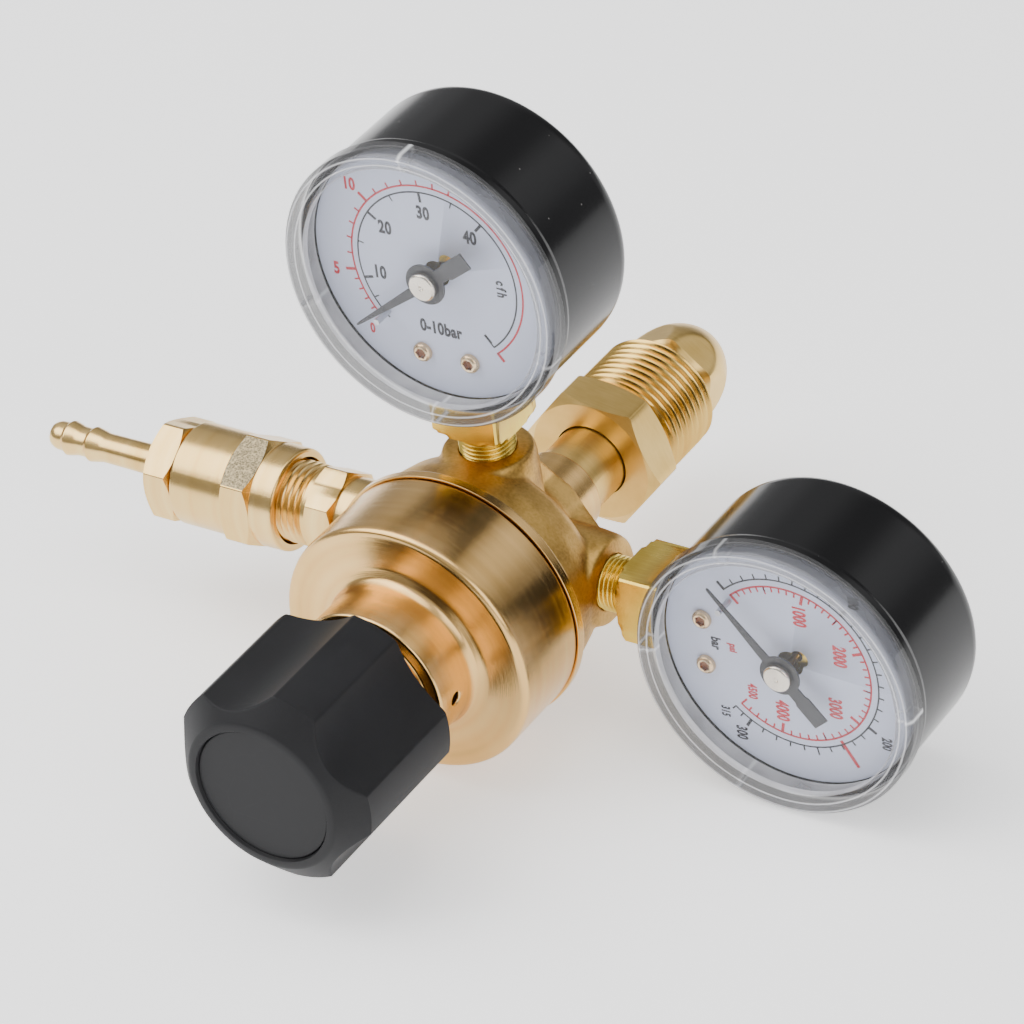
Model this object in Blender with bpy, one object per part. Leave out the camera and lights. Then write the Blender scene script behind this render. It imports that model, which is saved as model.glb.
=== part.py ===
"""Two-gauge pressure regulator for a gas cylinder, taken apart into its real pieces.

Sizes are in millimetres and become metres where a mesh is made. The main axis is Y: the
inlet nipple points to +Y and the adjusting knob to -Y. The origin is on that axis, where the
inlet nut's hexagon meets its thread. Z points to the delivery gauge, X to the cylinder gauge.
"""
import math

import bmesh
import bpy
from mathutils import Vector

MM = 0.001
GAP = 0.3                       # left between two pieces that touch
SIDES = 28                      # sides of a large round piece
HEX_SIDES = 24                  # sides of a turned piece with a hexagon on it
SMALL_SIDES = 14                # sides of a small round piece

# Inlet
NUT_ACROSS_FLATS = 25.4
NUT_HEX_LENGTH = 8.8
NUT_THREAD_RADIUS = 12.25
NUT_THREAD_LENGTH = 17.2
NUT_WALL = 1.95                 # wall of the threaded part
NUT_SEAT_DEPTH = 8.0            # from the origin to the shoulder that pushes the nipple
NUT_TURN = math.radians(51.4)
NIPPLE_RADIUS = 7.3
NIPPLE_BARE_LENGTH = 10.2       # seen between body and nut
NIPPLE_BORE = 1.9
NOSE_STANDOFF = 3.3             # end of the nut to the nose's hexagon
NOSE_LENGTH = 14.1
NOSE_RADIUS = 10.2
NOSE_HEX = 18.2
NOSE_TURN = math.radians(20.9)
NOSE_STEPS = 9
INLET_THREAD_RADIUS = 5.6
FILTER_LENGTH = 4.4

# Body
BODY_LENGTH = 37.0              # flange face to the end of the inlet boss
BODY_RADIUS = 24.2
FLANGE_RADIUS = 25.95
FLANGE_THICKNESS = 1.9
NECK_RADIUS = 22.6              # threaded neck inside the bonnet
NECK_LENGTH = 6.15
CHAMBER_RADIUS = 18.0
INLET_BOSS_RADIUS = 8.6
VALVE_BORE = 5.8
VALVE_BORE_DEPTH = 18.0
VALVE_SPRING_RADIUS = 3.4
VALVE_SPRING_WIRE = 0.7
VALVE_SPRING_TURNS = 4
PASSAGE_RADIUS = 1.6
PORT_DISTANCE = 15.6            # flange face to the gauge ports
OUTLET_DISTANCE = 14.7
BOSS_RADIUS = 8.7
BOSS_REACH = 23.7               # main axis to the face of a port boss
PORT_DEPTH = 9.5

# Bonnet and its spring
BONNET_RADIUS = 25.5
BONNET_LENGTH = 17.2
BONNET_FRONT_WALL = 3.0
HUB_RADIUS = 15.1
HUB_LENGTH = 11.7
SPINDLE_NECK_RADIUS = HUB_RADIUS - 2.7
SPINDLE_NECK_LENGTH = 16.3
SPINDLE_NECK_WALL = 4.0
SPRING_BORE = HUB_RADIUS - 4.8
SPRING_WIRE = 2.4
SPRING_TURNS = 6.5
BUTTON_THICKNESS = 3.0
PLATE_RADIUS = 12.0
PLATE_THICKNESS = 1.5
DIAPHRAGM_THICKNESS = 0.8
SLIP_RING_THICKNESS = 1.5
VENT_RADIUS = 1.3
VENT_TURN = math.radians(-6.0)

# Knob and screw
KNOB_RADIUS = HUB_RADIUS + 4.9
KNOB_LENGTH = 30.2
KNOB_CLEARANCE = 4.6            # hub front to the back of the knob, screw backed out
KNOB_LOBES = 5
KNOB_TURN = math.radians(33.5)
FLUTE_DEPTH = 3.1
FLUTE_HALF_ANGLE = math.radians(23.0)
KNOB_CHAMFER = 4.4
KNOB_CAP_RADIUS = 13.2
KNOB_CAP_THICKNESS = 1.5
KNOB_SCREW_RADIUS = 2.4
SCREW_RADIUS = 5.0
SCREW_HEX = 8.8

# Outlet, measured out from the main axis
STUB_RADIUS = 7.4
STUB_LENGTH = 8.1
OUTLET_HEX = 15.7
OUTLET_HEX_LENGTH = 6.0
OUTLET_HEX_TURN = math.radians(25.0)
OUTLET_THREAD_RADIUS = 7.94
OUTLET_THREAD_LENGTH = 12.1
OUTLET_BORE = 3.2
PORT_THREAD_RADIUS = 6.1
COUPLING_START = 43.9
COUPLING_COLLAR_LENGTH = 5.3
COUPLING_RADIUS = 10.05
COUPLING_HEX = 20.2
COUPLING_HEX_LENGTH = 6.5
COUPLING_TURN = math.radians(26.0)
COUPLING_SLEEVE_LENGTH = 11.9
SPIGOT_RADIUS = 6.5
SPIGOT_LENGTH = 10.7
BARB_HEX = 18.2
BARB_HEX_LENGTH = 6.1
BARB_TURN = math.radians(36.0)
BARB_RADIUS = 3.1
BARB_LENGTH = 27.3
RIB_RADIUS = 3.55
BARB_BORE = 1.6
WASHER_THICKNESS = 0.9

# Gauges
GAUGE_REACH = 65.5              # main axis to the centre of a gauge
CASE_RADIUS = 26.9
CASE_WALL = 0.8
CASE_FRONT = -10.8              # along the gauge, from the port plane
CASE_BACK = 12.8
CASE_EDGE = 2.6
LENS_RADIUS = CASE_RADIUS + 0.8
LENS_FRONT = -15.8
LENS_THICKNESS = 1.5
LENS_SKIRT = 1.8
DIAL_FRONT = -8.7
DIAL_THICKNESS = 0.5
DIAL_SCREW_CIRCLE = CASE_RADIUS - 8.9
DIAL_SCREW_ANGLE = math.radians(16.0)
DIAL_SCREW_HEAD = 1.85
DIAL_SCREW_SHANK = 0.9
DIAL_HOLE = 2.6
STEM_RADIUS = 5.1
STEM_BARE_LENGTH = 4.3
STEM_SQUARE = 14.0
SOCKET_WIDTH = 18.0
SOCKET_HEIGHT = 8.3
POINTER_LENGTH = 20.0
POINTER_TAIL = 11.5
POINTER_TAIL_WIDTH = 3.4
POINTER_HUB = 4.0
POINTER_CAP = 2.7
POINTER_FRONT = -12.6
POINTER_THICKNESS = 0.4
POINTER_HALF_WIDTH = 0.45       # of the blade, where it meets the stop pin
DELIVERY_REST = math.radians(217.3)
CYLINDER_REST = math.radians(222.3)
DELIVERY_HOLE = (2.4, 2.6)      # second hole in the dial, right of and above its centre
CYLINDER_HOLE = (-1.5, 1.9)
STOP_CIRCLE = 15.5
STOP_RADIUS = 0.6
FRAME_HALF_WIDTH = 6.0
FRAME_FRONT = -6.1
FRAME_BACK = 1.7
FRAME_PLATE = 0.8
ARBOR_RADIUS = 0.8
PINION_RADIUS = 1.15
PINION_TEETH = 12
GEAR_RATIO = 10
MESH_GAP = 0.15
TOOTH_DEPTH = 0.35
SECTOR_THICKNESS = 1.0
SECTOR_LEVEL = -3.6
SECTOR_TOP = math.radians(92.0)
SECTOR_TEETH = 12
SECTOR_HUB = 1.7
SECTOR_TAIL = 4.0
SECTOR_TAIL_TURN = math.radians(135.0)
TUBE_RADIUS = CASE_RADIUS - 7.7
TUBE_HALF_DEPTH = 3.4
TUBE_HALF_THICKNESS = 1.2
TUBE_SWEEP = math.radians(265.0)
LINK_LENGTH = TUBE_RADIUS - 8.8

# Places along the main axis, each from the piece that it sits against
nut_back = -NUT_HEX_LENGTH
body_end = nut_back - NIPPLE_BARE_LENGTH - GAP
flange_face = body_end - BODY_LENGTH
neck_front = flange_face - NECK_LENGTH
inlet_bore = INLET_THREAD_RADIUS + GAP
inlet_bore_floor = body_end - 12.0
bonnet_back = flange_face - GAP
bonnet_front = bonnet_back - BONNET_LENGTH
hub_front = bonnet_front - HUB_LENGTH
spindle_front = hub_front - SPINDLE_NECK_LENGTH
spring_front_wall = spindle_front + SPINDLE_NECK_WALL
diaphragm_front = neck_front - GAP - DIAPHRAGM_THICKNESS
slip_ring_front = diaphragm_front - GAP - SLIP_RING_THICKNESS
bonnet_shoulder = slip_ring_front - GAP
plate_front = diaphragm_front - GAP - PLATE_THICKNESS
knob_back = hub_front - KNOB_CLEARANCE
knob_front = knob_back - KNOB_LENGTH
screw_end = spring_front_wall + 1.0
button_front = screw_end + GAP
spring_start = button_front + BUTTON_THICKNESS + GAP
spring_end = plate_front - GAP
port_plane = flange_face + PORT_DISTANCE
outlet_plane = flange_face + OUTLET_DISTANCE
port_floor = BOSS_REACH - PORT_DEPTH
passage_reach = port_floor + 1.3
lens_skirt = CASE_RADIUS - CASE_WALL - GAP
dial_back = DIAL_FRONT + DIAL_THICKNESS


def clear_scene():
    for item in list(bpy.data.objects):
        bpy.data.objects.remove(item, do_unlink=True)


def finish(name, colour, roughness, metallic):
    """A Principled material with one colour."""
    material = bpy.data.materials.new(name)
    material.use_nodes = True
    shader = material.node_tree.nodes["Principled BSDF"]
    shader.inputs["Base Color"].default_value = (*colour, 1.0)
    shader.inputs["Roughness"].default_value = roughness
    shader.inputs["Metallic"].default_value = metallic
    material.diffuse_color = (*colour, 1.0)
    return material


class Frame:
    """An origin and three directions: right, up, and along the axis of a turned piece."""

    def __init__(self, origin, right, up, along):
        self.origin = Vector(origin)
        self.right = Vector(right)
        self.up = Vector(up)
        self.along = Vector(along)

    def offset(self, right, up, along):
        return (self.right * right + self.up * up + self.along * along) * MM

    def moved(self, right, up):
        """The same directions about an axis that lies to one side."""
        origin = self.origin + self.right * right + self.up * up
        return Frame(origin, self.right, self.up, self.along)


def make(name, frame, shape, material):
    """Turn a closed bmesh into an object whose origin is the frame's."""
    bmesh.ops.recalc_face_normals(shape, faces=shape.faces)
    mesh = bpy.data.meshes.new(name)
    shape.to_mesh(mesh)
    shape.free()
    mesh.shade_smooth()
    mesh.set_sharp_from_angle(angle=math.radians(35.0))
    if material:
        mesh.materials.append(material)
    piece = bpy.data.objects.new(name, mesh)
    piece.location = frame.origin * MM
    bpy.context.scene.collection.objects.link(piece)
    return piece


def bridge(shape, near, far):
    """Faces between two rings, either of which may be one point on the axis."""
    count = max(len(near), len(far))
    for step in range(count):
        after = (step + 1) % count
        corners = [near[step % len(near)], near[after % len(near)]]
        corners += [far[after % len(far)], far[step % len(far)]]
        shape.faces.new(list(dict.fromkeys(corners)))


def turned(name, frame, stations, material, sides=SIDES, turn=0.0):
    """A turned solid. Its stations, as (along, radius), run once round the section.

    A radius is a number or a function of the angle. With the first and last stations on the
    axis the piece is solid, and otherwise the last one joins the first, round a bore.
    """
    shape = bmesh.new()
    rings = []
    for along, radius in stations:
        if radius == 0:
            rings.append([shape.verts.new(frame.offset(0, 0, along))])
            continue
        ring = []
        for step in range(sides):
            angle = turn + math.tau * step / sides
            reach = radius(angle) if callable(radius) else radius
            place = frame.offset(reach * math.cos(angle), reach * math.sin(angle), along)
            ring.append(shape.verts.new(place))
        rings.append(ring)
    if len(rings[0]) > 1:
        rings.append(rings[0])
    for near, far in zip(rings, rings[1:]):
        bridge(shape, near, far)
    return make(name, frame, shape, material)


def polygon(across_flats, corners, turn, limit=math.inf):
    """The radius of a polygon at each angle, with its corners turned down to a limit."""
    sector = math.tau / corners

    def radius(angle):
        offset = (angle - turn) % sector - sector / 2
        return min(across_flats / 2 / math.cos(offset), limit)

    return radius


def hexagon_stations(start, stop, across_flats, turn):
    """A hexagon whose corners are chamfered at both ends."""
    full = polygon(across_flats, 6, turn)
    cut = polygon(across_flats, 6, turn, across_flats * 0.517)
    chamfer = across_flats * 0.03 * (1 if stop > start else -1)
    return [(start, cut), (start + chamfer, full), (stop - chamfer, full), (stop, cut)]


def extruded(name, frame, outline, start, stop, material):
    """A plate of constant thickness between two places along the frame's axis."""
    shape = bmesh.new()
    near = [shape.verts.new(frame.offset(x, y, start)) for x, y in outline]
    far = [shape.verts.new(frame.offset(x, y, stop)) for x, y in outline]
    shape.faces.new(near)
    shape.faces.new(far[::-1])
    bridge(shape, near, far)
    return make(name, frame, shape, material)


def swept(name, frame, route, half_width, half_depth, material, sides=6):
    """An oval bar along a route of (angle, radius, along) points about the frame's axis."""
    shape = bmesh.new()
    rings = []
    for angle, radius, along in route:
        ring = []
        for step in range(sides):
            around = math.tau * (step + 0.5) / sides
            reach = radius + half_width * math.cos(around)
            level = along + half_depth * math.sin(around)
            place = frame.offset(reach * math.cos(angle), reach * math.sin(angle), level)
            ring.append(shape.verts.new(place))
        rings.append(ring)
    for near, far in zip(rings, rings[1:]):
        bridge(shape, near, far)
    shape.faces.new(rings[0])
    shape.faces.new(rings[-1][::-1])
    return make(name, frame, shape, material)


def coil(name, frame, start, stop, radius, wire, turns, material):
    """An open-ended helical spring whose outer turns touch neither end."""
    steps = round(turns * 10)
    low = start + wire / 2
    rise = (stop - start - wire) / steps
    route = [(math.tau * turns * step / steps, radius, low + rise * step)
             for step in range(steps + 1)]
    return swept(name, frame, route, wire / 2, wire / 2, material, sides=5)


def combine(piece, other, operation):
    """Join another shape to a piece, or cut it away; the other shape itself is not a piece."""
    other.hide_render = True
    other.display_type = "WIRE"
    modifier = piece.modifiers.new(other.name, "BOOLEAN")
    modifier.operation = operation
    modifier.solver = "EXACT"
    modifier.object = other


def drill(piece, frame, start, stop, radius, sides=SMALL_SIDES):
    """Cut a round hole into a piece along a frame's axis."""
    name = f"{piece.name}_hole_{len(piece.modifiers)}"
    ends = [(start, 0), (start, radius), (stop, radius), (stop, 0)]
    combine(piece, turned(name, frame, ends, None, sides, math.pi / sides), "DIFFERENCE")


def build_body(main, ports, brass):
    """The forged body: low-pressure chamber in front, valve bore, inlet boss and three ports."""
    body = turned("body", main, [
        (neck_front, NECK_RADIUS), (flange_face, NECK_RADIUS),
        (flange_face, FLANGE_RADIUS), (flange_face + FLANGE_THICKNESS, FLANGE_RADIUS),
        (flange_face + FLANGE_THICKNESS + 0.6, BODY_RADIUS),
        (flange_face + 7.5, BODY_RADIUS - 0.3), (flange_face + 12.0, BODY_RADIUS - 1.6),
        (flange_face + 16.0, BODY_RADIUS - 4.4), (flange_face + 20.0, INLET_BOSS_RADIUS + 5.4),
        (flange_face + 23.5, INLET_BOSS_RADIUS + 2.8), (body_end - 7.5, INLET_BOSS_RADIUS + 2.4),
        (body_end - 7.1, INLET_BOSS_RADIUS), (body_end - 0.3, INLET_BOSS_RADIUS),
        (body_end, INLET_BOSS_RADIUS - 0.3), (body_end, inlet_bore),
        (inlet_bore_floor, inlet_bore), (inlet_bore_floor, NIPPLE_BORE + GAP),
        (flange_face + VALVE_BORE_DEPTH, NIPPLE_BORE + GAP),
        (flange_face + VALVE_BORE_DEPTH, VALVE_BORE), (flange_face, VALVE_BORE),
        (flange_face, CHAMBER_RADIUS), (neck_front, CHAMBER_RADIUS),
    ], brass)
    inner = VALVE_BORE + 1.5
    for name, frame in ports.items():
        boss = turned(f"body_boss_{name}", frame, [
            (inner, 0), (inner, BOSS_RADIUS + 0.9), (BOSS_REACH - 4.5, BOSS_RADIUS + 0.5),
            (BOSS_REACH - 1.0, BOSS_RADIUS), (BOSS_REACH, BOSS_RADIUS - 0.8), (BOSS_REACH, 0),
        ], None, sides=24, turn=math.pi / 24)
        combine(body, boss, "UNION")
    for name, frame in ports.items():
        rib_frame = Frame(main.origin, frame.along, main.along, frame.along.cross(main.along))
        rib = extruded(f"body_rib_{name}", rib_frame, [
            (inner, port_plane), (BOSS_REACH - 3.5, port_plane),
            (BOSS_REACH - 3.5, port_plane + 5.4), (INLET_BOSS_RADIUS + 2.1, body_end - 8.6),
            (inner, body_end - 8.6),
        ], -4.5, 4.5, None)
        combine(body, rib, "UNION")
    drill(body, ports["delivery"], port_floor, BOSS_REACH + 1, STEM_RADIUS + GAP)
    drill(body, ports["cylinder"], port_floor, BOSS_REACH + 1, STEM_RADIUS + GAP)
    drill(body, ports["outlet"], port_floor, BOSS_REACH + 1, PORT_THREAD_RADIUS + GAP)
    to_gauge = main.moved(0, passage_reach)
    to_outlet = main.moved(-passage_reach, 0)
    drill(body, to_gauge, flange_face - 1, port_plane - 2, PASSAGE_RADIUS, 12)
    drill(body, to_outlet, flange_face - 1, outlet_plane - 2, PASSAGE_RADIUS, 12)
    drill(body, ports["cylinder"], VALVE_BORE - 1.5, port_floor + 1, PASSAGE_RADIUS, 12)


def build_bonnet(main, brass, steel, rubber):
    """The bonnet with all that it clamps: slip ring, diaphragm, plate, spring and button."""
    bonnet = turned("bonnet", main, [
        (bonnet_back, BONNET_RADIUS), (bonnet_front + 1.3, BONNET_RADIUS),
        (bonnet_front + 0.4, BONNET_RADIUS - 0.4), (bonnet_front, BONNET_RADIUS - 1.4),
        (bonnet_front, HUB_RADIUS + 2.0), (bonnet_front - 0.8, HUB_RADIUS + 0.5),
        (bonnet_front - 2.0, HUB_RADIUS), (hub_front + 0.6, HUB_RADIUS),
        (hub_front, HUB_RADIUS - 0.7), (hub_front, SPINDLE_NECK_RADIUS),
        (spindle_front + 0.6, SPINDLE_NECK_RADIUS), (spindle_front, SPINDLE_NECK_RADIUS - 0.6),
        (spindle_front, SCREW_RADIUS + GAP), (spring_front_wall, SCREW_RADIUS + GAP),
        (spring_front_wall, SPRING_BORE), (bonnet_front + BONNET_FRONT_WALL, SPRING_BORE),
        (bonnet_front + BONNET_FRONT_WALL, CHAMBER_RADIUS - 1),
        (bonnet_shoulder, CHAMBER_RADIUS - 1), (bonnet_shoulder, NECK_RADIUS + GAP), (bonnet_back, NECK_RADIUS + GAP),
    ], brass, sides=SIDES)
    side = Vector((math.cos(VENT_TURN), 0, math.sin(VENT_TURN)))
    vent_place = (0, bonnet_front - HUB_LENGTH * 0.58, 0)
    vent = Frame(vent_place, (0, 1, 0), side.cross(Vector((0, 1, 0))), side)
    drill(bonnet, vent, SPRING_BORE - 1.5, HUB_RADIUS + 1.5, VENT_RADIUS, 16)

    ring_front, ring_back = slip_ring_front, slip_ring_front + SLIP_RING_THICKNESS
    turned("slip_ring", main, [
        (ring_front, NECK_RADIUS - 0.1), (ring_back, NECK_RADIUS - 0.1),
        (ring_back, CHAMBER_RADIUS - 1.5), (ring_front, CHAMBER_RADIUS - 1.5),
    ], steel)
    diaphragm_back = diaphragm_front + DIAPHRAGM_THICKNESS
    turned("diaphragm", main, [
        (diaphragm_front, 0), (diaphragm_front, NECK_RADIUS - 0.2),
        (diaphragm_back, NECK_RADIUS - 0.2), (diaphragm_back, 0),
    ], rubber)
    plate_back = plate_front + PLATE_THICKNESS
    spring_radius = SPRING_BORE - 0.7 - SPRING_WIRE / 2
    centring = spring_radius - SPRING_WIRE / 2 - 0.7
    turned("diaphragm_plate", main, [
        (plate_front - 3.0, 0), (plate_front - 3.0, centring - 0.8),
        (plate_front - 2.2, centring), (plate_front, centring), (plate_front, PLATE_RADIUS),
        (plate_back, PLATE_RADIUS), (plate_back, 0),
    ], steel)
    coil("adjusting_spring", main, spring_start, spring_end, spring_radius, SPRING_WIRE,
         SPRING_TURNS, steel)
    button_back = button_front + BUTTON_THICKNESS
    turned("spring_button", main, [
        (button_front, 0), (button_front, SPRING_BORE - 1.1),
        (button_front + 0.6, SPRING_BORE - 0.5), (button_back, SPRING_BORE - 0.5), (button_back, centring),
        (button_back + 2.2, centring), (button_back + 3.0, centring - 0.8),
        (button_back + 3.0, 0),
    ], steel)


def knob_outline(limit):
    """Five lobes with round flutes between them, turned down to a limit."""
    corner = KNOB_RADIUS * math.cos(FLUTE_HALF_ANGLE) - (KNOB_RADIUS - FLUTE_DEPTH)
    half_chord = KNOB_RADIUS * math.sin(FLUTE_HALF_ANGLE)
    flute = (corner ** 2 + half_chord ** 2) / (2 * corner)
    centre = KNOB_RADIUS - FLUTE_DEPTH + flute
    sector = math.tau / KNOB_LOBES

    def radius(angle):
        offset = (angle - KNOB_TURN + sector / 2) % sector - sector / 2
        reach = KNOB_RADIUS
        if abs(offset) < FLUTE_HALF_ANGLE:
            reach = centre * math.cos(offset)
            reach -= math.sqrt(flute ** 2 - (centre * math.sin(offset)) ** 2)
        return min(reach, limit)

    return radius


def build_knob(main, plastic, steel):
    """The knob with its cap and screw, on the square-cut end of the adjusting screw."""
    pocket = KNOB_CAP_RADIUS + GAP
    pocket_floor = knob_front + 0.6 + KNOB_CAP_THICKNESS + GAP
    head_seat = pocket_floor + 2.6
    socket_floor = head_seat + 1.8
    wall_back = socket_floor + 3.6
    rim = pocket + 1.4
    slope = (KNOB_RADIUS - rim) / KNOB_CHAMFER
    chamfer = [(knob_front + rise, knob_outline(rim + slope * rise))
               for rise in (0.0, KNOB_CHAMFER / 3, KNOB_CHAMFER * 2 / 3, KNOB_CHAMFER)]
    hole = KNOB_SCREW_RADIUS + GAP
    hollow = HUB_RADIUS + GAP
    socket = polygon(SCREW_HEX + 2 * GAP, 6, KNOB_TURN)
    turned("knob", main, chamfer + [
        (knob_back - 0.5, knob_outline(KNOB_RADIUS)), (knob_back, knob_outline(KNOB_RADIUS - 0.5)),
        (knob_back, hollow), (wall_back, hollow), (wall_back, socket), (socket_floor, socket),
        (socket_floor, hole), (head_seat, hole), (head_seat, KNOB_SCREW_RADIUS * 2 + GAP),
        (pocket_floor, KNOB_SCREW_RADIUS * 2 + GAP), (pocket_floor, pocket), (knob_front, pocket),
    ], plastic, sides=KNOB_LOBES * 8, turn=KNOB_TURN)
    cap_front = knob_front + 0.6
    turned("knob_cap", main, [
        (cap_front, 0), (cap_front, KNOB_CAP_RADIUS - 0.5), (cap_front + 0.4, KNOB_CAP_RADIUS),
        (cap_front + KNOB_CAP_THICKNESS, KNOB_CAP_RADIUS), (cap_front + KNOB_CAP_THICKNESS, 0),
    ], plastic)
    head_front = pocket_floor + GAP
    turned("knob_screw", main, [
        (head_front, 0), (head_front, KNOB_SCREW_RADIUS * 1.6),
        (head_front + 0.5, KNOB_SCREW_RADIUS * 2 - 0.2),
        (head_seat - GAP, KNOB_SCREW_RADIUS * 2 - 0.2),
        (head_seat - GAP, KNOB_SCREW_RADIUS), (head_seat + 12.0, KNOB_SCREW_RADIUS),
        (head_seat + 12.0, 0),
    ], steel, SMALL_SIDES)
    screw_front = socket_floor + GAP
    hexagon = polygon(SCREW_HEX, 6, KNOB_TURN, SCREW_RADIUS)
    turned("adjusting_screw", main, [
        (head_seat + 12.4, 0), (head_seat + 12.4, hole), (screw_front, hole),
        (screw_front, hexagon), (wall_back + 0.4, hexagon), (wall_back + 0.4, SCREW_RADIUS),
        (screw_end - 0.8, SCREW_RADIUS), (screw_end, SCREW_RADIUS - 0.8), (screw_end, 0),
    ], steel, HEX_SIDES, KNOB_TURN)


def build_valve(main, brass, steel, nylon):
    """The nozzle in the chamber floor, and the poppet that its spring holds against it."""
    nozzle_end = flange_face + 6.0
    turned("nozzle", main, [
        (flange_face - 3.0, polygon(12.0, 6, 0)), (flange_face - GAP, polygon(12.0, 6, 0)),
        (flange_face - GAP, VALVE_BORE - GAP), (nozzle_end - 1.0, VALVE_BORE - GAP),
        (nozzle_end - 1.0, 2.6), (nozzle_end, 2.6), (nozzle_end, 1.6), (flange_face - 3.0, 1.6),
    ], brass, HEX_SIDES)
    seat_front = nozzle_end + GAP
    seat_back = seat_front + 1.2
    turned("poppet_seat", main, [
        (seat_front, 1.5), (seat_front, 3.2), (seat_back, 3.2), (seat_back, 1.5),
    ], nylon, SMALL_SIDES)
    poppet_back = seat_back + 3.0
    turned("poppet", main, [
        (neck_front + GAP, 0), (neck_front + GAP, 0.9), (neck_front + 0.8, 1.2),
        (seat_back + GAP, 1.2), (seat_back + GAP, 3.5), (seat_front + 0.4, 3.5),
        (seat_front + 0.4, 4.4), (poppet_back, 4.4), (poppet_back, 2.2),
        (poppet_back + 2.0, 2.2), (poppet_back + 2.0, 0),
    ], brass, SMALL_SIDES)
    spring_floor = flange_face + VALVE_BORE_DEPTH - GAP
    coil("valve_spring", main, poppet_back + GAP, spring_floor, VALVE_SPRING_RADIUS,
         VALVE_SPRING_WIRE, VALVE_SPRING_TURNS, steel)


def build_inlet(main, brass, bronze):
    """The nipple screwed into the body, the nut that swivels on it, and the filter inside."""
    tail = inlet_bore_floor + GAP
    filter_bore = INLET_THREAD_RADIUS - 1.7
    filter_floor = tail + FILTER_LENGTH + GAP
    shoulder = NUT_SEAT_DEPTH + GAP
    shoulder_radius = NUT_THREAD_RADIUS - NUT_WALL - GAP
    nose_start = NUT_THREAD_LENGTH + NOSE_STANDOFF
    neck = NOSE_HEX / 2 - 0.5
    last = math.acos((NIPPLE_BORE + 0.7) / NOSE_RADIUS)
    nose = []
    for step in range(NOSE_STEPS + 1):
        angle = last * step / NOSE_STEPS
        limit = NOSE_RADIUS * math.cos(angle)
        along = nose_start + NOSE_LENGTH * math.sin(angle)
        nose.append((along, polygon(NOSE_HEX, 6, NOSE_TURN, limit)))
    tip = nose[-1][0]
    turned("inlet_nipple", main, [
        (tail, filter_bore), (tail, INLET_THREAD_RADIUS), (body_end + GAP, INLET_THREAD_RADIUS),
        (body_end + GAP, NIPPLE_RADIUS - 0.3), (body_end + 0.7, NIPPLE_RADIUS),
        (shoulder, NIPPLE_RADIUS), (shoulder, shoulder_radius),
        (NUT_THREAD_LENGTH, shoulder_radius), (NUT_THREAD_LENGTH + 1.2, neck),
        (nose_start - 1.0, neck), *nose, (tip, NIPPLE_BORE),
        (filter_floor, NIPPLE_BORE), (filter_floor, filter_bore),
    ], brass, sides=HEX_SIDES, turn=NOSE_TURN)
    turned("inlet_filter", main, [
        (tail + GAP, 0), (tail + GAP, filter_bore - GAP), (filter_floor - GAP, filter_bore - GAP),
        (filter_floor - GAP, NIPPLE_BORE), (tail + 1.6, NIPPLE_BORE), (tail + 1.6, 0),
    ], bronze, SMALL_SIDES)
    bore = NIPPLE_RADIUS + GAP
    hollow = shoulder_radius + GAP
    turned("inlet_nut", main, [
        *hexagon_stations(nut_back, 0.0, NUT_ACROSS_FLATS, NUT_TURN),
        (0.0, NUT_THREAD_RADIUS - 1.0), (1.2, NUT_THREAD_RADIUS - 1.0), (1.8, NUT_THREAD_RADIUS),
        (NUT_THREAD_LENGTH - 0.8, NUT_THREAD_RADIUS), (NUT_THREAD_LENGTH, NUT_THREAD_RADIUS - 0.9),
        (NUT_THREAD_LENGTH, hollow), (NUT_SEAT_DEPTH, hollow), (NUT_SEAT_DEPTH, bore),
        (nut_back, bore),
    ], brass, sides=HEX_SIDES, turn=NUT_TURN)


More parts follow.
